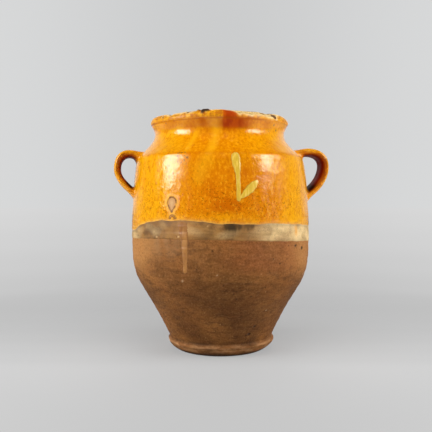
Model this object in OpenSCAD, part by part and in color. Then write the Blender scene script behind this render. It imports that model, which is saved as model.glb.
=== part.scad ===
// Two-handled glazed earthenware storage jar, millimetres, +Z up.
// The origin is the middle of the foot's underside. The handles stand on -X and +X, and the front is -Y.
// Every round form comes from one wall outline, which the coats, the handles and the marks also follow.

/* [Overall] */
// Height of the fired clay, from the table to the top of the lip
height = 290; // [270:1:320]
// Height of the widest part of the belly above the table
belly_z = 134; // [120:1:155]
// Radius of the clay at the belly
belly_r = 111.2; // [100:0.2:120]

/* [Foot] */
// Radius of the flat face that the jar stands on
foot_r = 54.5; // [46:0.5:58]
// Radius of the foot flange at its widest
flange_r = 66.8; // [62:0.2:72]
// Height of the flange's widest line
flange_z = 13.3; // [10:0.1:15]
// Depth of the groove over the flange
groove_d = 2.6; // [0.6:0.1:5]
// Height of the groove over the flange's widest line
groove_rise = 2.5; // [1.5:0.1:6]
// How far the wall leans outward where it leaves the groove, in degrees from upright
wall_lean = 25.4; // [20:0.2:32]

/* [Shoulder, neck and lip] */
// Radius of the clay at the shoulder's corner
shoulder_r = 103.9; // [96:0.1:107]
// How far the upper wall leans inward where it meets the shoulder, in degrees from upright
shoulder_lean = 14.8; // [8:0.2:18]
// Height from the shoulder's corner to the narrowest line of the neck
neck_rise = 29.7; // [25:0.1:36]
// Thickness of the wall at the narrowest line of the neck
neck_wall_t = 8.5; // [6:0.1:11]
// Slope of the shoulder's cone, in degrees from upright
cone_lean = 47.8; // [42:0.2:52]
// Height from the neck's narrowest line to the line under the roll
flare_h = 11.6; // [8:0.1:14]
// Height of the lip, from the line under the roll to the top
lip_h = 8.6; // [7:0.2:14]
// How far the roll stands out beyond the middle of the lip
lip_out = 7.7; // [5:0.1:9]
// How far the inner side of the lip stands in from the middle of the lip
lip_in = 5; // [4:0.1:7]

/* [Inside] */
// Thickness of the wall at the belly
wall_t = 8; // [6:0.5:10]
// Thickness of the floor
floor_t = 11; // [8:0.5:14]
// Radius of the flat part of the floor, inside
floor_r = 40; // [32:1:46]
// Radius of the upright throat inside the neck
throat_r = 73; // [68:0.2:75]
// Height of the upright throat
throat_h = 24; // [18:0.5:26]
// Thickness of the wall just under the shoulder
shoulder_wall_t = 8.2; // [6:0.2:10]

/* [Handles] */
// How far the left handle stands out from the wall beside it
left_reach = 27.4; // [23:0.1:35]
// How far the right handle stands out from the wall beside it
right_reach = 34.4; // [27:0.1:41]
// How much higher the right handle sits than the left one
right_lift = 3.8; // [-3:0.1:6]
// Thickness of the left strap, across its middle
left_t = 8.4; // [7:0.2:11]
// Thickness of the right strap, across its middle
right_t = 9.8; // [7:0.2:12]
// Width of a strap, across its middle
strap_w = 26; // [18:0.5:30]
// Extra width that a strap gains where it is pressed onto the jar
root_flare = 5; // [2:0.5:9]
// Height of the middle of the upper root above the shoulder's corner
root_rise = 1.2; // [-1:0.2:4]
// Height of the upper root where it is pressed onto the shoulder
top_root_h = 12.5; // [10:0.5:16]
// Height from the middle of the left handle's upper root to the middle of its lower root
left_h = 44.5; // [41:0.5:52]
// Height from the middle of the right handle's upper root to the middle of its lower root
right_h = 52.5; // [42:0.5:58]
// Height of the left handle's lower root where it is pressed onto the belly
left_low_h = 13.5; // [12:0.5:20]
// Height of the right handle's lower root where it is pressed onto the belly
right_low_h = 19; // [15:0.5:24]
// How long the left handle holds upright below its widest place, as a share of its height
left_hang = 0.34; // [0.26:0.01:0.44]
// How long the right handle holds upright below its widest place, as a share of its height
right_hang = 0.44; // [0.3:0.01:0.5]

/* [Slip and glaze] */
// Thickness of the pale slip under the glaze
slip_t = 0.5; // [0.4:0.1:0.8]
// Thickness of the ochre glaze outside
glaze_t = 0.6; // [0.5:0.1:1]
// Thickness of the glaze inside
inner_t = 0.6; // [0.5:0.1:1]
// Height of the slip's lower edge at the jar's middle
slip_line = 138; // [120:0.5:144]
// Height of the glaze's lower edge at the jar's middle
glaze_line = 155.5; // [149:0.5:172]
// Tilt of both dip lines, in degrees, front higher
dip_tilt = 2.9; // [0:0.1:6]
// Angle round the lip's roll, from level, at which the coats stop and leave the worn crest bare
crest_bare = 66; // [50:1:78]
// Gap between the coats and a handle that passes through them
seat_gap = 0.1; // [0.05:0.05:0.2]

/* [Brushed mark and run] */
// Thickness of the brushed straw-coloured dabs
mark_t = 0.4; // [0.3:0.1:0.8]
// Direction of the brushed mark, in degrees round from the front towards +X
mark_turn = 1.5; // [-30:0.5:30]
// Height of the upper end of the long dab
mark_z = 239; // [210:1:241]
// Length of the long dab
stem_l = 53; // [40:0.5:60]
// Width of the long dab's head
stem_head = 10.4; // [8:0.2:12]
// Width of the long dab's tail
stem_tail = 5; // [3:0.2:6]
// Length of the short dab
leaf_l = 26; // [16:0.5:30]
// Width of the short dab
leaf_w = 9.4; // [6:0.2:11]
// Slope of the short dab, in degrees from level
leaf_slope = 39; // [25:1:60]
// Direction of the run of glaze, in degrees round from the front towards +X
run_turn = -29; // [-60:1:0]
// Height of the lower end of the run
run_end_z = 105.5; // [95:0.5:125]
// Width of the run where it leaves the glaze
run_w = 9.8; // [5:0.2:12]
// Width of the run's rounded lower end
run_end_w = 4.6; // [3:0.2:6]
// Thickness of the run
run_t = 0.7; // [0.4:0.1:1]

/* [Hidden] */
$fn = 96;

// Steps along each stretch of the outline
fine = 14;
coarse = 6;

// Heights and radii that follow from the driving dimensions
lip_z = height - lip_h;
neck_z = lip_z - flare_h;
shoulder_z = neck_z - neck_rise;
waist_r = flange_r - groove_d;
waist_z = flange_z + groove_rise;
neck_r = throat_r + neck_wall_t;
// Middle of the lip, seen in section
lip_mid_r = throat_r + lip_in;
lip_mid_z = lip_z + 0.2 * lip_h;
lip_up = height - lip_mid_z;
// Radius that no piece of the jar passes, for the half spaces that cut the coats
reach_all = max(belly_r, shoulder_r) + left_reach + right_reach;

// How far the outline holds its direction from the ends of its curved stretches: upward from the
// groove, below and above the belly, below the shoulder, and up and down the neck's inward bend
groove_hold = 84;
low_belly_hold = 53;
high_belly_hold = 28;
shoulder_hold = 22.5;
cone_hold = 16.6;
neck_hold = 6.3;
flare_hold = 4;
// Rounding of the shoulder's corner, and the straight part of the cone above it
corner_round = 2.5;
cone_l = 9;

// Point at a fraction t along a cubic curve
function curve_point(a, b, c, d, t) =
    pow(1 - t, 3) * a + 3 * pow(1 - t, 2) * t * b + 3 * (1 - t) * t * t * c + pow(t, 3) * d;
// Points along a cubic curve, both ends included
function curve(a, b, c, d, steps) = [for (i = [0 : steps]) curve_point(a, b, c, d, i / steps)];
// The same list without its first point, for joining stretches that share one
function rest(list) = [for (i = [1 : len(list) - 1]) list[i]];
function reversed(list) = [for (i = [len(list) - 1 : -1 : 0]) list[i]];
// Direction in the section plane, leaning outward from upright by an angle
function lean(angle) = [sin(angle), cos(angle)];

// The foot's rounded underside, from the standing face to the flange's widest line
underside = curve([foot_r, 0], [foot_r + 0.35 * (flange_r - foot_r), 0.12 * flange_z],
                  [flange_r, 0.56 * flange_z], [flange_r, flange_z], coarse);
// The flange's upper rounding, down into the groove
flange_top = curve([flange_r, flange_z], [flange_r, flange_z + 0.5 * groove_rise],
                   [waist_r + 0.2 * groove_d, waist_z - 0.35 * groove_rise], [waist_r, waist_z], coarse);
// The wall from the groove to the belly, then to the shoulder's corner
lower_wall = curve([waist_r, waist_z], [waist_r, waist_z] + groove_hold * lean(wall_lean),
                   [belly_r, belly_z - low_belly_hold], [belly_r, belly_z], fine);
corner = [shoulder_r, shoulder_z];
wall_top = corner - corner_round * lean(-shoulder_lean);
cone_start = corner + corner_round * lean(-cone_lean);
upper_wall = curve([belly_r, belly_z], [belly_r, belly_z + high_belly_hold],
                   wall_top - shoulder_hold * lean(-shoulder_lean), wall_top, coarse + 3);
shoulder_round = curve(wall_top, (wall_top + 2 * corner) / 3, (cone_start + 2 * corner) / 3, cone_start, 3);
// The shoulder's cone, which turns upright at the neck
cone_end = corner + cone_l * lean(-cone_lean);
neck_in = curve(cone_end, cone_end + cone_hold * lean(-cone_lean), [neck_r, neck_z - neck_hold],
                [neck_r, neck_z], coarse + 2);
// The roll of the lip, from the line under it over the crest, by angle from level
roll_from = -22;
// How much flatter the roll is on its inner side
crest_in = 1;
function roll(angle) = [lip_mid_r + lip_out * cos(angle), lip_mid_z + lip_up * sin(angle)];
function roll_inner(angle) =
    [lip_mid_r + lip_in * cos(angle), lip_mid_z + (lip_up - crest_in) * sin(angle) + crest_in];
roll_under = roll(roll_from);
neck_out = curve([neck_r, neck_z], [neck_r, neck_z + flare_hold], roll_under - flare_hold * lean(20),
                 roll_under, coarse);
roll_side = [for (i = [0 : coarse]) roll(roll_from + (crest_bare - roll_from) * i / coarse)];
roll_crest = [for (i = [0 : 3]) roll(crest_bare + (90 - crest_bare) * i / 3)];
roll_crest_in = [for (i = [0 : 3]) roll_inner(90 + (90 - crest_bare) * i / 3)];
roll_side_in = [for (i = [0 : coarse]) roll_inner(180 - crest_bare + crest_bare * i / coarse)];

// Everything that a coat on the outside can cover, from the groove up to the bare crest
outside = concat(lower_wall, rest(upper_wall), rest(shoulder_round), [cone_end], rest(neck_in),
                 rest(neck_out), rest(roll_side));

// The inside, from the bare crest down the throat and the wall to the floor. Its corner lies a little
// below the shoulder's, and the cone over it holds its slope for a stretch.
inner_drop = 4.5;
inner_cone_hold = 14;
throat_top = roll_inner(180);
throat_low = [throat_r, throat_top[1] - throat_h];
inner_corner = [shoulder_r - shoulder_wall_t, shoulder_z - inner_drop];
inner_belly = [belly_r - wall_t, belly_z];
// Where the floor's rounding meets the inner wall, how far it holds the floor's level, and the
// horizontal thickness of clay where it ends
bend_rise = 13;
floor_turn = 9;
foot_wall_t = 7.6;
inner_foot = [waist_r - foot_wall_t, floor_t + bend_rise];
// The inside holds its directions over the same lengths as the outside, a little shortened
inner_share = 0.86;
neck_inside = curve(throat_low, throat_low - [0, neck_hold], inner_corner + inner_cone_hold * lean(-cone_lean),
                    inner_corner, coarse + 2);
upper_inside = curve(inner_corner, inner_corner - inner_share * shoulder_hold * lean(-shoulder_lean),
                     inner_belly + [0, high_belly_hold], inner_belly, coarse + 2);
lower_inside = curve(inner_belly, inner_belly - [0, low_belly_hold],
                     inner_foot + inner_share * groove_hold * lean(wall_lean), inner_foot, fine - 2);
floor_bend = curve(inner_foot, inner_foot - 0.5 * bend_rise * lean(wall_lean), [floor_r + floor_turn, floor_t],
                   [floor_r, floor_t], coarse);
inside = concat(roll_side_in, [throat_low], rest(neck_inside), rest(upper_inside), rest(lower_inside),
                rest(floor_bend));

// Unit normal on the right-hand side of a path at one of its points
function side_normal(path, i) =
    let (a = path[max(i - 1, 0)], b = path[min(i + 1, len(path) - 1)], d = b - a)
    [d[1], -d[0]] / norm(d);
// A path moved sideways by a distance, to its right
function shifted(path, by) = [for (i = [0 : len(path) - 1]) path[i] + by * side_normal(path, i)];

// A shell on the outside of the clay, between two depths of coat
module outer_shell(from, to) {
    rotate_extrude()
        polygon(concat(shifted(outside, to), reversed(shifted(outside, from))));
}

// Everything above a level that tilts up towards the front
module above(level) {
    translate([0, 0, level])
        rotate([-dip_tilt, 0, 0])
            translate([-reach_all, -reach_all, 0])
                cube([2 * reach_all, 2 * reach_all, height]);
}

// Everything below such a level
module below(level) {
    translate([0, 0, level])
        rotate([-dip_tilt, 0, 0])
            translate([-reach_all, -reach_all, -height])
                cube([2 * reach_all, 2 * reach_all, height]);
}

// The clay of the jar as one solid, without its hollow
module clay_envelope() {
    rotate_extrude()
        polygon(concat([[0, 0]], underside, rest(flange_top), rest(outside), rest(roll_crest),
                       [[0, height]]));
}

module pot_body() {
    color("sienna")
        rotate_extrude()
            polygon(concat([[0, 0]], underside, rest(flange_top), rest(outside), rest(roll_crest),
                           rest(roll_crest_in), rest(inside), [[0, floor_t]]));
}

// Distance of the clay's surface from the jar's axis plane, at a height and a sideways distance
wall_table = [for (p = outside) [p[1], p[0]]];
function wall_x(y, z) = sqrt(pow(lookup(z, wall_table), 2) - y * y);

// A pulled strap: its middle line leaves the shoulder, goes over a tight bend and runs down to the belly.
// Each root is a low foot, pressed onto the clay, that stands up through the slip and the glaze.
strap_rings = 20;
strap_sides = 20;
first_ring = 0.24;
last_ring = 1.76;
foot_over = 0.5;
foot_rise = slip_t + glaze_t + foot_over;
root_depth = 7;
// The way the middle line leaves the upper root, out and up
leave_out = 11;
leave_up = 7;
// How far below the upper root the strap is widest, and how far it holds upright above there
wide_drop = 15.2;
bend_up = 22;
// The way it lands on the belly, and its angle from upright
land_l = 3;
land_lean = 45;
function top_root_z(lift) = shoulder_z + root_rise + lift;
function strap_line(reach, thick, lift, rise, hang, t) =
    let (top = [wall_x(0, top_root_z(lift)), top_root_z(lift)],
         out = [wall_x(0, top[1] - wide_drop) + reach - thick / 2, top[1] - wide_drop],
         low = [wall_x(0, top[1] - rise), top[1] - rise])
    t < 1 ? curve_point(top, top + [leave_out, leave_up], out + [0, bend_up], out, t)
          : curve_point(out, out - [0, hang * rise], low + land_l * lean(land_lean), low, t - 1);
function strap_way(reach, thick, lift, rise, hang, t) =
    let (d = strap_line(reach, thick, lift, rise, hang, min(t + 0.01, 2))
             - strap_line(reach, thick, lift, rise, hang, max(t - 0.01, 0)))
    d / norm(d);
// How much of the root flare is left at a place along the strap
function flare_left(t) = pow(max(0, 1 - t / 0.7), 2) + pow(max(0, 1 - (2 - t) / 0.8), 2);
// Soft-cornered figure between an oval and a rectangle, for the strap's section and its feet
squareness = 0.72;
function soft(v) = sign(v) * pow(abs(v), squareness);
function strap_point(reach, thick, lift, rise, hang, t, angle) =
    let (mid = strap_line(reach, thick, lift, rise, hang, t),
         way = strap_way(reach, thick, lift, rise, hang, t),
         half_t = thick / 2 + 0.1 * root_flare * flare_left(t),
         half_w = (strap_w + root_flare * flare_left(t)) / 2,
         across = half_t * soft(cos(angle)))
    [mid[0] + across * way[1], half_w * soft(sin(angle)), mid[1] - across * way[0]];
// Outline of a foot, sideways and in height. side is -1 for the upper root and 1 for the lower one.
function foot_point(z, h, side, grow, angle) =
    [((strap_w + root_flare) / 2 + grow) * soft(sin(angle)), z + side * (h / 2 + grow) * soft(cos(angle))];
function foot_ring(z, h, side, rise) = [for (j = [0 : strap_sides - 1])
    let (p = foot_point(z, h, side, 0, 360 * j / strap_sides)) [wall_x(p[0], p[1]) + rise, p[0], p[1]]];

module strap(reach, thick, lift, rise, low_h, hang) {
    rings = concat(
        foot_ring(top_root_z(lift), top_root_h, -1, -root_depth),
        foot_ring(top_root_z(lift), top_root_h, -1, foot_rise),
        [for (i = [0 : strap_rings]) for (j = [0 : strap_sides - 1])
            strap_point(reach, thick, lift, rise, hang, first_ring + (last_ring - first_ring) * i / strap_rings,
                        360 * j / strap_sides)],
        foot_ring(top_root_z(lift) - rise, low_h, 1, foot_rise),
        foot_ring(top_root_z(lift) - rise, low_h, 1, -root_depth));
    ring_count = strap_rings + 5;
    sides = [for (i = [0 : ring_count - 2]) for (j = [0 : strap_sides - 1])
        let (a = i * strap_sides + j, b = i * strap_sides + (j + 1) % strap_sides)
        each [[a, b, b + strap_sides], [a, b + strap_sides, a + strap_sides]]];
    ends = [for (j = [1 : strap_sides - 2]) let (z = (ring_count - 1) * strap_sides)
        each [[0, j + 1, j], [z, z + j, z + j + 1]]];
    polyhedron(rings, concat(sides, ends));
}

// The windows in the coats, that a handle's two feet stand in
module foot_windows(lift, rise, low_h) {
    for (root = [[top_root_z(lift), top_root_h], [top_root_z(lift) - rise, low_h]])
        rotate([90, 0, 90])
            linear_extrude(reach_all)
                polygon([for (j = [0 : strap_sides - 1])
                    foot_point(root[0], root[1], 1, seat_gap, 360 * j / strap_sides)]);
}

module handle_left() {
    color("darkorange")
        difference() {
            mirror([1, 0, 0])
                strap(left_reach, left_t, 0, left_h, left_low_h, left_hang);
            clay_envelope();
        }
}

module handle_right() {
    color("darkorange")
        difference() {
            strap(right_reach, right_t, right_lift, right_h, right_low_h, right_hang);
            clay_envelope();
        }
}

module slip_coat() {
    color("wheat")
        difference() {
            intersection() {
                outer_shell(0, slip_t);
                above(slip_line);
            }
            mirror([1, 0, 0])
                foot_windows(0, left_h, left_low_h);
            foot_windows(right_lift, right_h, right_low_h);
        }
}

module outer_glaze() {
    color("orange")
        difference() {
            intersection() {
                outer_shell(slip_t, slip_t + glaze_t);
                above(glaze_line);
            }
            mirror([1, 0, 0])
                foot_windows(0, left_h, left_low_h);
            foot_windows(right_lift, right_h, right_low_h);
        }
}

module inner_glaze() {
    color("goldenrod")
        rotate_extrude()
            polygon(concat(inside, [[0, floor_t]], [[0, floor_t + inner_t]],
                           reversed(shifted(inside, inner_t))));
}

// Outline of a brushed dab with a broad head at its upper end and a narrow tail, seen from outside.
// It starts at the origin and runs along -Y of the drawing.
dab_steps = 12;
function dab_half(length, head, tail, s) =
    let (belly = pow(sin(180 * pow(s, 0.6)), 1.1),
         ends = sqrt(max(0, 1 - pow(2 * s - 1, 8))))
    ends * (tail + (head - tail) * belly) / 2;
module dab(length, head, tail) {
    right = [for (i = [0 : dab_steps]) let (s = i / dab_steps) [dab_half(length, head, tail, s), -length * s]];
    left = [for (i = [dab_steps - 1 : -1 : 1]) let (s = i / dab_steps)
        [-dab_half(length, head, tail, s), -length * s]];
    polygon(concat(right, left));
}

// A drawing on the X-Y plane, raised into a column that faces outward at a turn round the jar.
// The drawing's Y becomes height.
module outward(turn) {
    rotate([90, 0, turn])
        linear_extrude(reach_all)
            children();
}

// Where the short dab grows out of the long one
leaf_out = 2.5;
leaf_up = 5.5;
leaf_root = [leaf_out, leaf_up - stem_l];

module brush_mark() {
    color("khaki")
        intersection() {
            outer_shell(slip_t + glaze_t, slip_t + glaze_t + mark_t);
            outward(mark_turn)
                translate([0, mark_z])
                    union() {
                        dab(stem_l, stem_head, stem_tail);
                        translate(leaf_root + leaf_l * [cos(leaf_slope), sin(leaf_slope)])
                            rotate(leaf_slope - 90)
                                dab(leaf_l, leaf_w, 0.5 * leaf_w);
                    }
        }
}

// Outline of the run: it starts under the glaze, narrows downward and has a rounded end
run_lap = 20;
run_top_z = glaze_line + run_lap;
module run_outline() {
    polygon([[-run_w / 2, run_top_z], [-run_end_w / 2, run_end_z + run_end_w / 2],
             [run_end_w / 2, run_end_z + run_end_w / 2], [run_w / 2, run_top_z]]);
    translate([0, run_end_z + run_end_w / 2])
        circle(d = run_end_w);
}

module glaze_run() {
    color("peru")
        union() {
            intersection() {
                outer_shell(slip_t, slip_t + run_t);
                below(glaze_line);
                above(slip_line);
                outward(run_turn)
                    run_outline();
            }
            intersection() {
                outer_shell(0, slip_t + run_t);
                below(slip_line);
                outward(run_turn)
                    run_outline();
            }
        }
}

pot_body();
handle_left();
handle_right();
slip_coat();
outer_glaze();
inner_glaze();
brush_mark();
glaze_run();
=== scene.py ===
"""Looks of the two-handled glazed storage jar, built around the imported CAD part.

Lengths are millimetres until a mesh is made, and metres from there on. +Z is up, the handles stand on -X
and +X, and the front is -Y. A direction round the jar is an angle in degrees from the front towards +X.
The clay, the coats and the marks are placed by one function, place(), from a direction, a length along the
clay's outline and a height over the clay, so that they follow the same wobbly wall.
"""
import math

import bpy
import numpy as np
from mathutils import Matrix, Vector


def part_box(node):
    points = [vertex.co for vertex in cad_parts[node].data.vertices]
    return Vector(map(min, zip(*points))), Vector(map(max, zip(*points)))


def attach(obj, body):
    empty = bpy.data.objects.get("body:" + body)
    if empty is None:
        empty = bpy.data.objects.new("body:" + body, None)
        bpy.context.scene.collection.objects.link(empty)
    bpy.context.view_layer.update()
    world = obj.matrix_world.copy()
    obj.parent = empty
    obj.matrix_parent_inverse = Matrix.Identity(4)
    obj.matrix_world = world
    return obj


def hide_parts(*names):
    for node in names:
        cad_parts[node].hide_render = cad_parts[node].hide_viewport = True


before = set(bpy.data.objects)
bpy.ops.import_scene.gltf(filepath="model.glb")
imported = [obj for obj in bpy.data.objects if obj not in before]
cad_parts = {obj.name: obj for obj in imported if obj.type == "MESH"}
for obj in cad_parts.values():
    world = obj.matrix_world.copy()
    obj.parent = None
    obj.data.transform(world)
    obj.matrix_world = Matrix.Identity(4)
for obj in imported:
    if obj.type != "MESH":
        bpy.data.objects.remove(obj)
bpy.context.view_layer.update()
BODY = "root"
MM = 0.001

# The jar's driving sizes, as in the CAD source
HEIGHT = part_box("pot_body")[1].z / MM
BELLY_Z, BELLY_R = 134.0, 111.2
FOOT_R, FLANGE_R, FLANGE_Z, GROOVE_D, GROOVE_RISE, WALL_LEAN = 54.5, 66.8, 13.3, 2.6, 2.5, 25.4
SHOULDER_R, SHOULDER_LEAN, NECK_RISE, NECK_WALL_T, CONE_LEAN = 103.9, 14.8, 29.7, 8.5, 47.8
FLARE_H, LIP_H, LIP_OUT, LIP_IN = 11.6, 8.6, 7.7, 5.0
WALL_T, FLOOR_T, FLOOR_R, THROAT_R, THROAT_H, SHOULDER_WALL_T = 8.0, 11.0, 40.0, 73.0, 24.0, 8.2
SLIP_T, GLAZE_T, INNER_T = 0.5, 0.6, 0.6

LIP_Z = HEIGHT - LIP_H
NECK_Z = LIP_Z - FLARE_H
SHOULDER_Z = NECK_Z - NECK_RISE
WAIST_R, WAIST_Z = FLANGE_R - GROOVE_D, FLANGE_Z + GROOVE_RISE
NECK_R = THROAT_R + NECK_WALL_T
LIP_MID_R, LIP_MID_Z = THROAT_R + LIP_IN, LIP_Z + 0.2 * LIP_H
LIP_UP = HEIGHT - LIP_MID_Z


def point(r, z):
    return np.array([r, z], float)


def lean(angle):
    """Direction in the section plane, leaning outward from upright by an angle in degrees."""
    return point(math.sin(math.radians(angle)), math.cos(math.radians(angle)))


def curve(a, b, c, d, steps=60):
    t = np.linspace(0, 1, steps + 1)[:, None]
    return (1 - t) ** 3 * a + 3 * (1 - t) ** 2 * t * b + 3 * (1 - t) * t * t * c + t ** 3 * d


def roll(angles, out, up, base):
    """Points round the lip's roll, by angle from level."""
    a = np.radians(angles)
    return np.column_stack([LIP_MID_R + out * np.cos(a), LIP_MID_Z + base + up * np.sin(a)])


def clay_outline():
    """The clay's section from the middle of the underside, up the outside and down the inside."""
    belly = point(BELLY_R, BELLY_Z)
    waist = point(WAIST_R, WAIST_Z)
    corner = point(SHOULDER_R, SHOULDER_Z)
    wall_top = corner - 2.5 * lean(-SHOULDER_LEAN)
    cone_start = corner + 2.5 * lean(-CONE_LEAN)
    cone_end = corner + 9 * lean(-CONE_LEAN)
    neck = point(NECK_R, NECK_Z)
    roll_out = roll(np.linspace(-22, 90, 60), LIP_OUT, LIP_UP, 0)
    roll_in = roll(np.linspace(90, 180, 40), LIP_IN, LIP_UP - 1, 1)
    throat_low = roll_in[-1] - point(0, THROAT_H)
    inner_corner = point(SHOULDER_R - SHOULDER_WALL_T, SHOULDER_Z - 4.5)
    inner_belly = point(BELLY_R - WALL_T, BELLY_Z)
    inner_foot = point(WAIST_R - 7.6, FLOOR_T + 13)
    stretches = [
        curve(point(0, 0), point(20, 0), point(35, 0), point(FOOT_R, 0)),
        curve(point(FOOT_R, 0), point(FOOT_R + 0.35 * (FLANGE_R - FOOT_R), 0.12 * FLANGE_Z),
              point(FLANGE_R, 0.56 * FLANGE_Z), point(FLANGE_R, FLANGE_Z)),
        curve(point(FLANGE_R, FLANGE_Z), point(FLANGE_R, FLANGE_Z + 0.5 * GROOVE_RISE),
              point(WAIST_R + 0.2 * GROOVE_D, WAIST_Z - 0.35 * GROOVE_RISE), waist),
        curve(waist, waist + 84 * lean(WALL_LEAN), belly - point(0, 53), belly, 200),
        curve(belly, belly + point(0, 28), wall_top - 22.5 * lean(-SHOULDER_LEAN), wall_top, 120),
        curve(wall_top, (wall_top + 2 * corner) / 3, (cone_start + 2 * corner) / 3, cone_start),
        curve(cone_end, cone_end + 16.6 * lean(-CONE_LEAN), neck - point(0, 6.3), neck),
        curve(neck, neck + point(0, 4), roll_out[0] - 4 * lean(20), roll_out[0]),
        roll_out,
        roll_in,
        curve(throat_low, throat_low - point(0, 6.3), inner_corner + 14 * lean(-CONE_LEAN), inner_corner),
        curve(inner_corner, inner_corner - 19.4 * lean(-SHOULDER_LEAN), inner_belly + point(0, 28), inner_belly),
        curve(inner_belly, inner_belly - point(0, 53), inner_foot + 72.2 * lean(WALL_LEAN), inner_foot, 200),
        curve(inner_foot, inner_foot - 6.5 * lean(WALL_LEAN), point(FLOOR_R + 9, FLOOR_T), point(FLOOR_R, FLOOR_T)),
        curve(point(FLOOR_R, FLOOR_T), point(26, FLOOR_T), point(13, FLOOR_T), point(0, FLOOR_T)),
    ]
    points = np.concatenate(stretches)
    keep = np.append(True, np.linalg.norm(np.diff(points, axis=0), axis=1) > 1e-6)
    return points[keep]


def along(points):
    return np.append(0, np.cumsum(np.linalg.norm(np.diff(points, axis=0), axis=1)))


# The outline, resampled to even steps, with its outward direction at each step
OUTLINE_STEP = 0.25
_raw = clay_outline()
_length = along(_raw)
OUT_S = np.arange(0, _length[-1], OUTLINE_STEP)
OUT_P = np.column_stack([np.interp(OUT_S, _length, _raw[:, k]) for k in (0, 1)])
_way = np.gradient(OUT_P, axis=0)
_soft = np.ones(9) / 9
_way = np.column_stack([np.convolve(np.pad(_way[:, k], 4, "edge"), _soft, "valid") for k in (0, 1)])
_way /= np.linalg.norm(_way, axis=1)[:, None]
OUT_N = np.column_stack([_way[:, 1], -_way[:, 0]])
CREST_I = int(np.argmax(OUT_P[:, 1]))
S_FOOT = FOOT_R
S_CREST = OUT_S[CREST_I]
S_END = OUT_S[-1]


def s_at(z):
    """Length along the outline of the outside's point at a height."""
    return np.interp(z, OUT_P[:CREST_I + 1, 1], OUT_S[:CREST_I + 1])


def z_at(s):
    return np.interp(s, OUT_S, OUT_P[:, 1])


def r_at(s):
    return np.interp(s, OUT_S, OUT_P[:, 0])


def smooth(x, low, high):
    """0 below low, 1 above high, and an even turn between them."""
    t = np.clip((np.asarray(x, float) - low) / (high - low), 0, 1)
    return t * t * (3 - 2 * t)


def bell(x, middle, half):
    """1 at the middle, falling to nothing at about twice the half width."""
    return np.exp(-((np.asarray(x, float) - middle) / half) ** 2)


def ripple(turn, z, seed, around, upright, waves=14):
    """Even noise about 0 with a spread near 1. around is the most waves round the jar, upright the
    shortest wave up it, in mm."""
    draw = np.random.default_rng(seed)
    total = np.zeros(np.broadcast(turn, z).shape)
    for _ in range(waves):
        k = draw.integers(0, around + 1)
        f = draw.uniform(-1, 1) * 2 * math.pi / upright
        total += math.sqrt(2 / waves) * np.sin(np.radians(turn) * k + z * f + draw.uniform(0, 2 * math.pi))
    return total


# Chips in the lip: direction, height, half width round the jar, half height, depth
CHIPS = [(-34.5, 289.0, 3.4, 3.4, 0.2), (-61.5, 288.0, 4.4, 3.4, 0.4),
         (42.0, 286.0, 6.4, 4.8, 0.5), (29.5, 288.4, 6.4, 2.6, 0.2), (62.0, 284.5, 2.0, 1.8, 0.7),
         (118.0, 288.4, 4.2, 3.2, 1.6), (171.0, 289.0, 6.6, 3.0, 1.8), (-140.0, 287.4, 4.4, 3.4, 1.5)]
# A dark crust on the crest: direction, height, half width, half height, thickness
CRUST = (-20.8, 289.0, 7.4, 4.2, 1.2)
# Small pits in the bare wall: direction, height, radius, depth
PITS = [(44.2, 134.3, 1.9, 1.0), (52.4, 130.6, 2.5, 1.4), (-96.0, 88.0, 2.2, 1.2), (140.0, 112.0, 2.4, 1.4),
        (24.0, 38.0, 1.8, 0.9), (20.5, 28.5, 2.0, 1.1), (-170.0, 60.0, 2.0, 1.1)]


def turn_gap(turn, middle):
    """Difference of two directions, in degrees, from -180 to 180."""
    return (np.asarray(turn, float) - middle + 180) % 360 - 180


def spot_reach(turn, s, direction, height, half_round, half_up):
    """1 at the middle of an oval on the outside of the wall, 0 on its edge and less beyond it."""
    s0 = s_at(height)
    a = np.radians(turn_gap(turn, direction)) * r_at(s0)
    return 1 - np.hypot(a / half_round, (s - s0) / half_up)


def crust(turn, s):
    direction, height, half_round, half_up, _ = CRUST
    ragged = 1 + 0.22 * ripple(turn * 9, z_at(s) * 9, 199, 6, 40, 6)
    return smooth(spot_reach(turn, s, direction, height, half_round * ragged, half_up * ragged), 0, 0.4)


def chips(turn, s):
    """Share of a chip's middle, 0 to 1, and the depth of the chips."""
    share = np.zeros(np.broadcast(turn, s).shape)
    depth = np.zeros(share.shape)
    for direction, height, half_round, half_up, deep in CHIPS:
        ragged = 1 + 0.2 * ripple(turn * 9, z_at(s) * 9, int(200 + direction), 6, 40, 6)
        one = smooth(spot_reach(turn, s, direction, height, half_round * ragged, half_up * ragged), 0, 0.75)
        share = np.maximum(share, one)
        depth = depth + deep * one
    return share, depth


# How far under the shoulder's corner a faint throwing ring runs
SHOULDER_RING = 6.0


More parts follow.
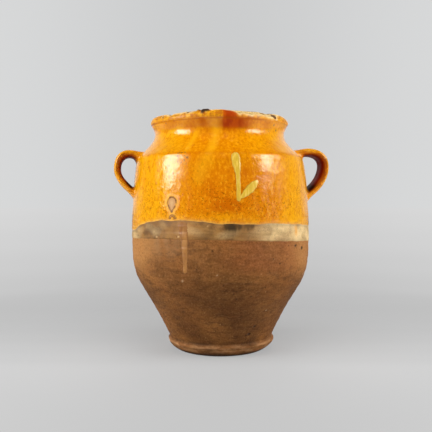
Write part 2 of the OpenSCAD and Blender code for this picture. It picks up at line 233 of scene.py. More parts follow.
def clay_rise(turn, s):
    """How far the clay stands over the outline: throwing ridges, lumps, the crease under the lip, chips."""
    z = z_at(s)
    outside = s <= S_CREST
    spiral = z + turn / 360 * 7.5
    low = smooth(z, 17, 26) * (1 - smooth(z, 150, 175))
    ridges = 0.12 * np.sin(2 * math.pi * spiral / 9.3 + 1.1 * ripple(turn, z, 3, 3, 60))
    ridges += 0.05 * np.sin(2 * math.pi * spiral / 4.1 + 1.5 * ripple(turn, z, 4, 5, 45))
    rise = ridges * (0.08 + 0.92 * low)
    rise += 0.30 * ripple(turn, z, 5, 5, 110) + 0.09 * ripple(turn, z, 6, 26, 16, 30) * (0.1 + 0.9 * low)
    rise *= smooth(z, 1.5, 12) * (1 - 0.6 * smooth(z, 279, 285))
    flange = bell(z, FLANGE_Z - 1.5, 6)
    rise += flange * (0.38 * ripple(turn, z, 7, 7, 60) + 0.22 * ripple(turn, z, 8, 17, 20))
    crease = bell(z, LIP_Z - 0.4 + 0.25 * ripple(turn, z, 9, 4, 400), 0.75)
    rise -= 0.42 * crease * (1 - 0.7 * bell(turn_gap(turn, 52), 0, 24))
    rise += 0.30 * ripple(turn, z, 10, 6, 40) * smooth(z, 283, 288) + CRUST[4] * crust(turn, np.minimum(s, S_CREST))
    rise += 0.24 * bell(z, SHOULDER_Z - SHOULDER_RING, 1.5) * bell(turn_gap(turn, 0), 0, 90)
    rise += 0.8 * (bell(turn_gap(turn, 84), 0, 22) + bell(turn_gap(turn, -98), 0, 22)) * smooth(z, 277, 284)
    for direction, height, radius, deep in PITS:
        rise -= deep * smooth(spot_reach(turn, s, direction, height, radius, radius), 0, 0.8)
    near_crest = 1 - smooth(np.abs(s - S_CREST), 3, 12)
    inside = 0.35 * ripple(turn, z, 11, 4, 60) * smooth(S_END - s, 20, 60) + CRUST[4] * crust(turn, np.full(turn.shape, S_CREST)) * near_crest
    rise = np.where(outside, rise, inside)
    return rise - chips(turn, np.minimum(s, S_CREST))[1] * np.where(outside, 1, near_crest)


# How far the lip's middle lies from the foot's, how much the crest goes up and down, and its worn dips as
# direction, half width in degrees and depth in mm
LIP_SHIFT = point(-1.2, 0.4)
CREST_WAVE = 0.40
CREST_DIPS = [(-53, 3.5, 1.7), (34.5, 5.0, 1.5), (-8, 5, -0.35), (100, 9, 0.8), (-150, 7, 1.0)]


def place(turn, s, h):
    """Points in the row frame, in metres, for directions, lengths along the outline and heights over the
    wobbly clay."""
    turn, s, h = np.broadcast_arrays(np.asarray(turn, float), np.asarray(s, float), np.asarray(h, float))
    h = h + clay_rise(turn, s)
    r = r_at(s) + h * np.interp(s, OUT_S, OUT_N[:, 0])
    z = z_at(s) + h * np.interp(s, OUT_S, OUT_N[:, 1])
    r = np.where((s <= 0) | (s >= S_END - OUTLINE_STEP), 0, np.maximum(r, 0))
    z = z + CREST_WAVE * smooth(z, 262, HEIGHT) * (np.sin(np.radians(2 * turn + 40)) + bell(turn_gap(turn, -14), 0, 16))
    for direction, half, drop in CREST_DIPS:
        z = z - drop * bell(turn_gap(turn, direction), 0, half) * smooth(z, 284, HEIGHT)
    z = np.maximum(z, 0) if np.all(s < S_CREST) else z
    a = np.radians(turn)
    up = smooth(z, 215, 280)
    x = r * np.sin(a) + LIP_SHIFT[0] * up
    y = -r * np.cos(a) + LIP_SHIFT[1] * up
    return np.stack([x, y, z], axis=-1) * MM


def mesh_piece(name, points, faces, values=None):
    """A smooth-shaded mesh object from points and faces, with named values at its points."""
    mesh = bpy.data.meshes.new(name)
    mesh.vertices.add(len(points))
    mesh.vertices.foreach_set("co", np.ascontiguousarray(points, np.float32).ravel())
    sizes = np.array([len(f) for f in faces], np.int32) if isinstance(faces, list) else np.full(len(faces), faces.shape[1])
    corners = np.concatenate([np.asarray(f) for f in faces]) if isinstance(faces, list) else faces.ravel()
    mesh.loops.add(len(corners))
    mesh.loops.foreach_set("vertex_index", corners.astype(np.int32))
    mesh.polygons.add(len(sizes))
    mesh.polygons.foreach_set("loop_start", np.append(0, np.cumsum(sizes)[:-1]).astype(np.int32))
    mesh.update(calc_edges=True)
    mesh.validate()
    mesh.shade_smooth()
    for key, value in (values or {}).items():
        attribute = mesh.attributes.new(key, "FLOAT", "POINT")
        attribute.data.foreach_set("value", np.ascontiguousarray(value, np.float32).ravel())
    piece = bpy.data.objects.new(name, mesh)
    bpy.context.scene.collection.objects.link(piece)
    return piece


def wrap_faces(rows, columns, offset=0):
    """Quads of a grid whose columns close on themselves."""
    i, j = np.meshgrid(np.arange(rows - 1), np.arange(columns), indexing="ij")
    k = (j + 1) % columns
    quads = np.stack([i * columns + j, i * columns + k, (i + 1) * columns + k, (i + 1) * columns + j], axis=-1)
    return quads.reshape(-1, 4) + offset


def open_faces(rows, columns, offset=0):
    i, j = np.meshgrid(np.arange(rows - 1), np.arange(columns - 1), indexing="ij")
    quads = np.stack([i * columns + j, i * columns + j + 1, (i + 1) * columns + j + 1, (i + 1) * columns + j], axis=-1)
    return quads.reshape(-1, 4) + offset


def spaced(stops):
    """Lengths along the outline from (start, step) pairs and a closing length."""
    parts = [np.linspace(a, b, max(2, int(round((b - a) / step)) + 1))[:-1]
             for (a, step), b in zip(stops[:-1], [s[0] if isinstance(s, tuple) else s for s in stops[1:]])]
    return np.append(np.concatenate(parts), stops[-1])


def settle(piece, slot, material, *nodes):
    """Gives a piece its body and its material, and hides the CAD nodes it stands for. The slot is not used."""
    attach(piece, BODY)
    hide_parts(*nodes)
    piece.data.materials.append(material)
    return piece


# Edges of the coats, as direction and height, and how they go on round the back
GLAZE_EDGE = [(-180, 156.5), (-140, 154), (-110, 150), (-90, 149.5), (-80, 151), (-74.7, 152.5), (-72.6, 154.4),
              (-66, 158.6), (-60.3, 160.7), (-53.2, 163), (-42.6, 164.4), (-27.1, 164.9), (-20.3, 163.5),
              (-7.2, 161.5), (6, 160.9), (28.5, 160.9), (52.4, 158.6), (60.4, 157.3), (85, 154.6), (110, 151.5),
              (140, 152.5), (165, 156), (180, 156.5)]
SLIP_EDGE = [(-180, 133), (-130, 136), (-90, 140.5), (-75, 141.5), (-60.7, 142.7), (-46.3, 143.6), (-19.7, 143.7),
             (-8.2, 143.3), (9.2, 142.4), (30.4, 140.6), (50.1, 139.1), (59.2, 138.3), (90, 136), (130, 132.5),
             (180, 133)]


def edge_height(edge, turn):
    turns, heights = zip(*edge)
    fine = np.linspace(-180, 180, 1441)
    level = np.interp(fine, turns, heights)
    soft = np.hanning(17) / np.hanning(17).sum()
    level = np.convolve(np.pad(level[:-1], 8, "wrap"), soft, "valid")
    return np.interp(turn_gap(turn, 0), fine, np.append(level, level[0]))


def glaze_edge(turn):
    return edge_height(GLAZE_EDGE, turn) + 0.20 * ripple(turn, 0, 21, 34, 1e9, 16) + 0.07 * ripple(turn, 0, 22, 90, 1e9, 16)


def slip_edge(turn):
    return edge_height(SLIP_EDGE, turn) + 0.16 * ripple(turn, 0, 23, 40, 1e9, 16) + 0.10 * ripple(turn, 0, 24, 110, 1e9, 16)


# The bare drop-shaped spot in the glaze, and the small arch under it
DROP_TURN, DROP_TOP, DROP_LOW, DROP_HALF = -38.0, 190.4, 174.8, 5.0
ARCH_TURN, ARCH_Z = -37.4, 170.4


def drop_gap(turn, z):
    """Signed distance in mm from the drop's outline, less than 0 inside it."""
    a = np.radians(turn_gap(turn, DROP_TURN)) * 110.5
    mid = DROP_TOP - DROP_HALF
    taper = np.clip((z - DROP_LOW) / (mid - DROP_LOW), 0, 1)
    half = DROP_HALF * np.sin(taper * math.pi / 2) ** 1.25
    above = np.hypot(a, z - mid) - DROP_HALF
    below = (np.abs(a) - half) * 0.86
    under = np.hypot(a, z - DROP_LOW)
    return np.where(z >= mid, above, np.where(z > DROP_LOW, below, under))


def arch_gap(turn, z):
    """Signed distance from the small arch: a short bent stroke under the drop."""
    a = np.radians(turn_gap(turn, ARCH_TURN)) * 110.8
    ring = np.abs(np.hypot(a / 1.15, z - ARCH_Z + 3.4) - 3.0) - 0.75
    return np.where(z > ARCH_Z - 3.4, ring, np.maximum(ring, 0.8 * (ARCH_Z - 3.4 - z)))


def coat_sheet(name, columns, s_rows, lower, thickness, under, values):
    """A closed coat. Its outer sheet follows thickness(turn, s), which goes under the clay at the coat's
    edges, and its inner sheet lies in the clay."""
    turn = np.arange(columns) * 360 / columns - 180
    share = (s_rows - s_rows[0]) / (s_rows[-1] - s_rows[0])
    start = s_at(lower(turn))
    s = start[None, :] + (s_rows[-1] - start)[None, :] * share[:, None]
    turns = np.broadcast_to(turn, s.shape)
    outer = place(turns, s, thickness(turns, s))
    few = np.unique(np.linspace(0, len(s_rows) - 1, 24).astype(int))
    inner = place(turns[few], s[few], -under)
    rows = len(s_rows)
    points = np.concatenate([outer.reshape(-1, 3), inner.reshape(-1, 3)])
    offset = rows * columns
    last = offset + (len(few) - 1) * columns
    j = np.arange(columns)
    k = (j + 1) % columns
    foot = np.column_stack([j + offset, k + offset, k, j])
    top = np.column_stack([(rows - 1) * columns + j, (rows - 1) * columns + k, last + k, last + j])
    faces = np.concatenate([wrap_faces(rows, columns), wrap_faces(len(few), columns, offset)[:, ::-1], foot, top])
    fields = {}
    for key, field in values(turns, s).items():
        fields[key] = np.concatenate([np.broadcast_to(field, s.shape).ravel(),
                                      np.zeros(len(few) * columns)])
    return mesh_piece(name, points, faces, fields)


def crest_worn(turn, s, reach, seed):
    """Length along the outline at which a coat is worn off at the crest."""
    t = turn_gap(turn, 0)
    more = smooth(t, 1, 9) * (1 - smooth(t, 44, 54)) + 0.45 * smooth(t, -62, -52) * (1 - smooth(t, -34, -24))
    reach = reach * (0.55 + 1.9 * more)
    return S_CREST - reach + 0.5 * ripple(turn, 0, seed, 22, 1e9, 16) + 0.6 * ripple(turn, 0, seed + 1, 70, 1e9, 20)


def coat_body(gap, soft):
    """Share of a coat's full thickness at a distance inside its edge: a round bead, then the flat of the coat."""
    inside = np.clip(gap / soft, -1.5, 1)
    return np.where(inside > 0, np.sin(np.clip(inside, 0, 1) * math.pi / 2) ** 0.7, 1.6 * inside)


def glaze_gap(turn, s):
    """Distance inside the glaze's edge, in mm, along the wall."""
    z = z_at(s)
    low = s - s_at(glaze_edge(turn))
    high = crest_worn(turn, s, 3.6, 31) - s
    bare = drop_gap(turn, z) + 0.2
    chipped = 3 * (0.12 - chips(turn, s)[0])
    return np.minimum.reduce([low, high, bare, chipped])


def glaze_height(turn, s):
    gap = glaze_gap(turn, s)
    bead = 0.05 * bell(s - s_at(glaze_edge(turn)), 2.0, 1.4)
    z = z_at(s)
    swell = 0.055 * ripple(turn, z, 33, 36, 14, 30) + 0.05 * ripple(turn, z, 34, 12, 40, 16)
    swell = swell + 0.022 * ripple(turn, z, 36, 80, 7, 40)
    return SLIP_T + (GLAZE_T + bead + swell) * coat_body(gap, 2.4)


def slip_gap(turn, s):
    low = s - s_at(slip_edge(turn))
    high = crest_worn(turn, s, 1.2, 35) - s
    flake = np.full(np.broadcast(turn, s).shape, 9.0)
    for direction, height, radius in ((-48.3, 144.8, 1.5), (-34.6, 146.4, 1.1), (-12.0, 157.5, 0.9)):
        flake = np.minimum(flake, -radius * spot_reach(turn, s, direction, height, radius, radius))
    chipped = 3 * (0.26 - chips(turn, s)[0])
    return np.minimum.reduce([low, high, flake, chipped])


def slip_height(turn, s):
    gap = slip_gap(turn, s)
    z = z_at(s)
    swell = 0.04 * ripple(turn, z, 37, 40, 8, 30)
    return (SLIP_T + swell) * coat_body(gap, 1.1)


# Colours, written as on a screen

def rgb(r, g, b):
    linear = [(c / 255 / 12.92) if c <= 10 else (((c / 255) + 0.055) / 1.055) ** 2.4 for c in (r, g, b)]
    return (*linear, 1.0)


class Paint:
    """A material made of nodes, with short calls for the nodes it needs."""

    def __init__(self, name):
        self.material = bpy.data.materials.new(name)
        self.material.use_nodes = True
        self.tree = self.material.node_tree
        self.shader = self.tree.nodes["Principled BSDF"]
        self.place = self.add("ShaderNodeTexCoord").outputs["Object"]

    def add(self, kind, **settings):
        node = self.tree.nodes.new(kind)
        for key, value in settings.items():
            setattr(node, key, value)
        return node

    def put(self, socket, value):
        if isinstance(value, bpy.types.NodeSocket):
            self.tree.links.new(value, socket)
        else:
            socket.default_value = value

    def field(self, name):
        return self.add("ShaderNodeAttribute", attribute_name=name).outputs["Fac"]

    def math(self, kind, a, b=0.0, clamp=False):
        node = self.add("ShaderNodeMath", operation=kind, use_clamp=clamp)
        self.put(node.inputs[0], a)
        self.put(node.inputs[1], b)
        return node.outputs[0]

    def span(self, value, low, high, to_low=0.0, to_high=1.0):
        node = self.add("ShaderNodeMapRange", interpolation_type="SMOOTHSTEP")
        for socket, item in zip(node.inputs, (value, low, high, to_low, to_high)):
            self.put(socket, item)
        return node.outputs[0]

    def mix(self, share, a, b, kind="MIX"):
        node = self.add("ShaderNodeMix", data_type="RGBA", blend_type=kind)
        self.put(node.inputs["Factor"], share)
        self.put(node.inputs[6], a)
        self.put(node.inputs[7], b)
        return node.outputs[2]

    def stretched(self, x, y, z):
        node = self.add("ShaderNodeMapping")
        self.put(node.inputs["Vector"], self.place)
        node.inputs["Scale"].default_value = (x, y, z)
        return node.outputs[0]

    def noise(self, scale, detail=3.0, rough=0.55, where=None):
        node = self.add("ShaderNodeTexNoise")
        self.put(node.inputs["Vector"], where or self.place)
        node.inputs["Scale"].default_value = scale
        node.inputs["Detail"].default_value = detail
        node.inputs["Roughness"].default_value = rough
        return node.outputs["Fac"]

    def dots(self, scale, where=None, jitter=1.0):
        node = self.add("ShaderNodeTexVoronoi")
        self.put(node.inputs["Vector"], where or self.place)
        node.inputs["Scale"].default_value = scale
        node.inputs["Randomness"].default_value = jitter
        return node.outputs["Distance"], node.outputs["Color"]

    def specks(self, scale, size, share):
        """Round specks in a share of the cells of a scattered pattern, 0 to 1."""
        distance, cell = self.dots(scale)
        pick = self.add("ShaderNodeSeparateColor")
        self.put(pick.inputs[0], cell)
        radius = self.math("MULTIPLY", pick.outputs[1], size)
        round_part = self.span(self.math("SUBTRACT", radius, distance), -0.05, 0.12)
        chosen = self.math("LESS_THAN", pick.outputs[0], share)
        return self.math("MULTIPLY", round_part, chosen)

    def bump(self, height, distance, strength=1.0):
        node = self.add("ShaderNodeBump")
        self.put(node.inputs["Height"], height)
        node.inputs["Distance"].default_value = distance
        node.inputs["Strength"].default_value = strength
        return node.outputs[0]

    def finish(self, colour, roughness, normal=None, ior=1.5, specular=0.5):
        self.put(self.shader.inputs["Base Color"], colour)
        self.put(self.shader.inputs["Roughness"], roughness)
        self.shader.inputs["IOR"].default_value = ior
        self.shader.inputs["Specular IOR Level"].default_value = specular
        if normal is not None:
            self.put(self.shader.inputs["Normal"], normal)
        return self.material


def clay_paint():
    p = Paint("fired_clay")
    bands = p.noise(1.0, 5, 0.65, p.stretched(55, 55, 230))
    fine_bands = p.noise(1.0, 4, 0.7, p.stretched(150, 150, 620))
    clouds = p.noise(24, 5, 0.62)
    blots = p.noise(1.0, 5, 0.74, p.stretched(110, 110, 170))
    grit = p.noise(460, 4, 0.72)
    patches = p.noise(1.0, 3, 0.5, p.stretched(20, 20, 42))
    colour = p.mix(p.span(patches, 0.36, 0.64), rgb(124, 78, 34), rgb(150, 98, 46))
    colour = p.mix(p.math("MULTIPLY", p.span(clouds, 0.42, 0.64), 0.5), colour, rgb(142, 86, 36))
    colour = p.mix(p.math("MULTIPLY", p.span(bands, 0.50, 0.66), 0.35), colour, rgb(158, 106, 54))
    colour = p.mix(p.math("MULTIPLY", p.span(bands, 0.50, 0.36), 0.5), colour, rgb(88, 54, 22))
    colour = p.mix(p.math("MULTIPLY", p.span(blots, 0.50, 0.64), 0.55), colour, rgb(82, 48, 20))
    colour = p.mix(p.math("MULTIPLY", p.span(blots, 0.48, 0.34), 0.35), colour, rgb(176, 112, 60))
    colour = p.mix(p.math("MULTIPLY", p.field("red"), 0.6), colour, rgb(154, 88, 44))
    # Paler towards the sides: partly the clay's tone, partly painted light
    colour = p.mix(p.math("MULTIPLY", p.field("tan"), 0.8), colour, rgb(184, 128, 70))
    # Darker low down and at the front
    colour = p.mix(p.math("MULTIPLY", p.field("darker_low_front"), 0.9), colour, rgb(74, 42, 14))
    colour = p.mix(p.math("MULTIPLY", p.span(fine_bands, 0.56, 0.72), 0.35), colour, rgb(170, 120, 74))
    colour = p.mix(p.math("MULTIPLY", p.span(grit, 0.52, 0.64), 0.42), colour, rgb(72, 44, 18))
    colour = p.mix(p.math("MULTIPLY", p.span(grit, 0.47, 0.34), 0.2), colour, rgb(190, 134, 76))
    colour = p.mix(p.math("MULTIPLY", p.specks(260, 0.28, 0.07), 0.45), colour, rgb(186, 140, 88))
    colour = p.mix(p.math("MULTIPLY", p.specks(240, 0.34, 0.12), 0.75), colour, rgb(62, 38, 18))
    colour = p.mix(p.math("MULTIPLY", p.field("wash"), 0.6), colour, rgb(148, 112, 74))
    # Paler flange band: rubbed clay with a painted highlight on the roll
    rubbed_and_highlit = p.span(p.noise(1.0, 3, 0.6, p.stretched(70, 70, 210)), 0.40, 0.60)
    colour = p.mix(p.math("MULTIPLY", p.field("flange"), 0.85), colour, p.mix(rubbed_and_highlit, rgb(150, 98, 56), rgb(206, 152, 102)))
    # Painted shade in the groove, under the foot and in the pits, and the dark of the chips and the crust
    colour = p.mix(p.math("MULTIPLY", p.field("painted_shade_and_chips"), 0.9), colour, rgb(52, 36, 24))
    colour = p.mix(p.math("MULTIPLY", p.field("chalk"), 0.9), colour, rgb(198, 166, 124))
    rough = p.span(grit, 0.3, 0.7, 0.62, 0.82)
    height = p.math("ADD", p.math("MULTIPLY", bands, 0.6), p.math("MULTIPLY", grit, 0.4))
    return p.finish(colour, rough, p.bump(height, 0.0006, 0.6), 1.45, 0.2)


def clay_fields(turn, s):
    z = z_at(s)
    outside = (s <= S_CREST) * 1.0
    red = bell(turn_gap(turn, 28), 0, 34) * smooth(z, 96, 118) * (1 - smooth(z, 146, 152))
    # Paler tan towards the sides: partly the clay's own tone, partly painted light where the side lamps fall
    tan = smooth(np.abs(turn_gap(turn, -4)), 34, 62) * smooth(z, 88, 124)
    # Darker low down and at the front
    darker_low_front = np.maximum(bell(turn_gap(turn, -4), 0, 42) * bell(z, 62, 46), 0.75 * (1 - smooth(z, 66, 122)))
    patches = 0.6 + 0.3 * ripple(turn, z, 41, 9, 60)
    patchy = np.clip(0.68 + 0.2 * ripple(turn, z, 42, 16, 9, 24), 0, 1)
    # Paler band on the flange: the clay's own rubbed tone with a painted highlight along the top of its roll and a thin
    # lower line
    flange = np.maximum(bell(z, FLANGE_Z - 1.2, 2.6), 0.75 * bell(z, 7.6, 3.0)) * patchy
    # Painted shade in the waist groove, under the foot, along a line on the flange and in the pits, with the real dark
    # of the chips and the crust
    painted_shade_and_chips = 0.55 * bell(z, WAIST_Z + 0.4, 1.5) * np.clip(0.65 + 0.3 * ripple(turn, z, 43, 12, 90), 0, 1)
    painted_shade_and_chips = np.maximum(painted_shade_and_chips, 0.8 * (1 - smooth(z, 1.2, 6.0)))
    painted_shade_and_chips = np.maximum(painted_shade_and_chips, 0.35 * bell(z + 0.4 * ripple(turn, z, 45, 5, 400), 9.8, 0.7))
    for direction, height, radius, deep in PITS:
        painted_shade_and_chips = np.maximum(painted_shade_and_chips, smooth(spot_reach(turn, s, direction, height, radius * 1.6, radius * 1.2), 0.1, 0.5))
    painted_shade_and_chips = np.maximum(painted_shade_and_chips, np.maximum(0.45 * smooth(chips(turn, s)[0], 0.15, 0.4), crust(turn, s)))
    wash = bell(turn_gap(turn, -44), 0, 15) * smooth(z, 112, 140)
    wash = wash * np.clip(0.6 + 0.3 * ripple(turn, 0.3 * z, 46, 60, 12, 24), 0, 1)
    chalk = np.zeros(turn.shape)
    for direction, height, half_round, half_up in ((-32.1, 96.4, 1.8, 1.5), (-10.5, 104.6, 1.2, 1.0),
                                                    (6.2, 133.0, 0.7, 2.4), (61.0, 98.0, 2.4, 2.8),
                                                    (66.0, 84.0, 1.6, 5.0), (30.0, 58.0, 1.4, 1.0)):
        chalk = np.maximum(chalk, smooth(spot_reach(turn, s, direction, height, half_round, half_up), 0, 0.7))
    return {"red": red * np.clip(patches + 0.4, 0, 1) * outside, "tan": tan * np.clip(patches + 0.2, 0, 1) * outside,
            "darker_low_front": darker_low_front * np.clip(1.2 - patches, 0, 1) * outside, "flange": flange * outside,
            "painted_shade_and_chips": painted_shade_and_chips * outside, "chalk": chalk * outside, "wash": wash * outside}


def make_clay():
    columns = 384
    s = spaced([(0, 14.0), (S_FOOT - 4, 1.1), (s_at(60), 1.45), (s_at(168), 5.0), (s_at(262), 3.0), (s_at(279), 1.0),
                (S_CREST + 8, 4.0), (S_CREST + 60, 8.0), S_END])
    turn = np.arange(columns) * 360 / columns - 180
    turns, lengths = np.meshgrid(turn, s[1:-1])
    points = place(turns, lengths, 0.0).reshape(-1, 3)
    fields = clay_fields(turns, lengths)
    rows = len(s) - 2
    low, high = len(points), len(points) + 1
    points = np.concatenate([points, [[0, 0, 0]], place([0.0], [S_END], 0.0)])
    j = np.arange(columns)
    k = (j + 1) % columns
    foot = np.column_stack([np.full(columns, low), k, j])
    floor = np.column_stack([(rows - 1) * columns + j, (rows - 1) * columns + k, np.full(columns, high)])
    faces = list(wrap_faces(rows, columns)) + list(foot) + list(floor)
    values = {key: np.append(np.broadcast_to(field, turns.shape).ravel(), [0, 0]) for key, field in fields.items()}
    piece = mesh_piece("jar_clay", points, faces, values)
    return settle(piece, "fired_clay", clay_paint(), "pot_body")


def slip_fields(turn, s):
    z = z_at(s)
    t = turn_gap(turn, 0)
    uneven = ripple(turn, z, 51, 26, 16, 24)
    cream = smooth(t, 10, 26) + 0.66 * smooth(-t, 60, 72) * (1 - smooth(-t, 84, 110)) + 0.30 * bell(t, -8, 10) * bell(z, 148, 4)
    cream = cream * (1 - smooth(t, 80, 120)) + 0.45 * smooth(np.abs(t), 85, 125)
    cream = np.clip(cream * (0.72 + 0.28 * smooth(t, 36, 56)) + 0.14 * uneven, 0, 1)
    tan = np.clip(bell(t, -31, 9) * (0.9 + 0.25 * uneven), 0, 1)
    brown = np.clip(bell(t, -52, 15) * (0.9 + 0.25 * uneven), 0, 1)
    ragged = 0.6 * ripple(turn, z, 52, 60, 9, 24) + 0.5 * ripple(turn, 0, 53, 220, 1e9, 20)
    lower = 154.6 - 1.0 * bell(t, -1, 3) + ragged
    patch = smooth(t, -7.4, -5.8) * (1 - smooth(t, 10.8, 12.0)) * smooth(z, lower - 2.0, lower + 2.6)
    patch = patch * np.clip(0.94 - 0.45 * bell(t, 4.7, 0.8) + 0.06 * uneven, 0, 1)
    brown = np.maximum(brown, np.clip(bell(t, 2, 9) * bell(z, 149, 6) * (1 + 0.4 * uneven), 0, 1))
    orange = bell(t, 44.7, 1.6) * smooth(z, 142, 150) * (1 - smooth(z, 155, 160)) * 0.8
    orange = np.maximum(orange, smooth(spot_reach(turn, s, 44.7, 150.2, 3.2, 3.4), 0, 0.8))
    spot = np.exp(-np.clip(drop_gap(turn, z), 0, 9) / 3)
    drop = np.where(drop_gap(turn, z) < 3, 1.0, 0.0)
    pale = bell(drop_gap(turn, z), -4.2, 1.8)
    for direction, height, size in ((-49.4, 145.4, 1.6), (-15.4, 159.0, 0.9), (-33.5, 146.5, 1.5), (-27.5, 144.6, 0.8)):
        pale = np.maximum(pale, smooth(spot_reach(turn, s, direction, height, size, size * 0.8), 0, 0.5))
    worn = smooth(s, s_at(284), s_at(288))
    shade = np.clip(bell(z - edge_height(GLAZE_EDGE, turn), -1.2, 1.4) * 0.5, 0, 1)
    return {"cream": cream, "tan": tan, "brown": brown, "patch": patch, "orange": orange, "drop": drop * spot, "pale": pale,
            "worn": worn, "shade": shade, "crust": crust(turn, s)}


def slip_paint():
    p = Paint("slip")
    clouds = p.noise(70, 5, 0.62)
    bands = p.noise(1.0, 5, 0.6, p.stretched(50, 50, 260))
    grit = p.noise(600, 3, 0.7)
    colour = p.mix(p.span(clouds, 0.36, 0.64), rgb(122, 84, 36), rgb(162, 116, 58))
    colour = p.mix(p.math("MULTIPLY", p.span(bands, 0.5, 0.7), 0.5), colour, rgb(186, 142, 80))
    colour = p.mix(p.math("MULTIPLY", p.field("tan"), 0.8), colour, rgb(176, 120, 54))
    colour = p.mix(p.math("MULTIPLY", p.field("brown"), 0.9), colour, p.mix(p.span(clouds, 0.4, 0.6), rgb(98, 64, 28), rgb(134, 92, 42)))
    colour = p.mix(p.field("cream"), colour, p.mix(p.span(clouds, 0.35, 0.66), rgb(200, 166, 110), rgb(232, 200, 142)))
    colour = p.mix(p.math("MULTIPLY", p.span(grit, 0.54, 0.68), 0.4), colour, rgb(92, 66, 40))
    colour = p.mix(p.math("MULTIPLY", p.specks(190, 0.32, 0.10), 0.65), colour, rgb(84, 60, 38))
    colour = p.mix(p.math("MULTIPLY", p.field("shade"), 0.5), colour, rgb(92, 70, 44))
    colour = p.mix(p.field("patch"), colour, p.mix(p.span(clouds, 0.4, 0.6), rgb(60, 42, 10), rgb(96, 64, 20)))
    colour = p.mix(p.field("orange"), colour, rgb(226, 160, 66))
    colour = p.mix(p.field("drop"), colour, rgb(196, 142, 86))
    colour = p.mix(p.math("MULTIPLY", p.field("pale"), 0.7), colour, rgb(222, 182, 124))
    colour = p.mix(p.field("worn"), colour, p.mix(p.span(grit, 0.42, 0.6), rgb(210, 164, 84), rgb(242, 214, 150)))
    colour = p.mix(p.field("crust"), colour, rgb(58, 40, 26))
    rough = p.span(clouds, 0.3, 0.7, 0.5, 0.72)
    return p.finish(colour, rough, p.bump(p.math("ADD", clouds, grit), 0.0004, 0.5), 1.45, 0.4)


def make_slip():
    s = spaced([(s_at(130), 0.75), (s_at(166), 3.5), (s_at(268), 1.1), S_CREST + 0.6])
    piece = coat_sheet("slip_coat_skin", 576, s, lambda t: slip_edge(t) - 2.4, slip_height, 0.9, slip_fields)
    return settle(piece, "slip", slip_paint(), "slip_coat")


# Streaks of thin yellow glaze: pairs of directions, heights and half widths in mm
STREAKS = [[(-12.5, 284, 9.0), (-12.0, 278, 8.5), (-11.0, 270, 6.5), (-11.6, 260.6, 5.6), (-13.8, 246, 5.2),
            (-16.5, 236.4, 6.4), (-18.8, 226.4, 8.0), (-21.0, 213, 7.5), (-21.5, 202, 6.0)],
           [(-26.4, 270, 3.4), (-27.3, 263.5, 4.2), (-29.1, 255, 4.2), (-30.2, 247.7, 3.6), (-30.8, 241, 3.0)]]


def streak_field(turn, z):
    total = np.zeros(np.broadcast(turn, z).shape)
    for streak in STREAKS:
        turns, heights, halves = (np.array(v)[::-1] for v in zip(*streak))
        middle = np.interp(z, heights, turns)
        half = np.interp(z, heights, halves)
        a = np.radians(turn_gap(turn, middle)) * 98
        ends = smooth(z, heights[0] - 4, heights[0] + 9) * (1 - smooth(z, heights[-1] - 6, heights[-1] + 3))
        total = np.maximum(total, np.exp(-np.abs(a / half) ** 2.4) * ends * (0.6 + 0.4 * smooth(z, 236, 247)))
    return total


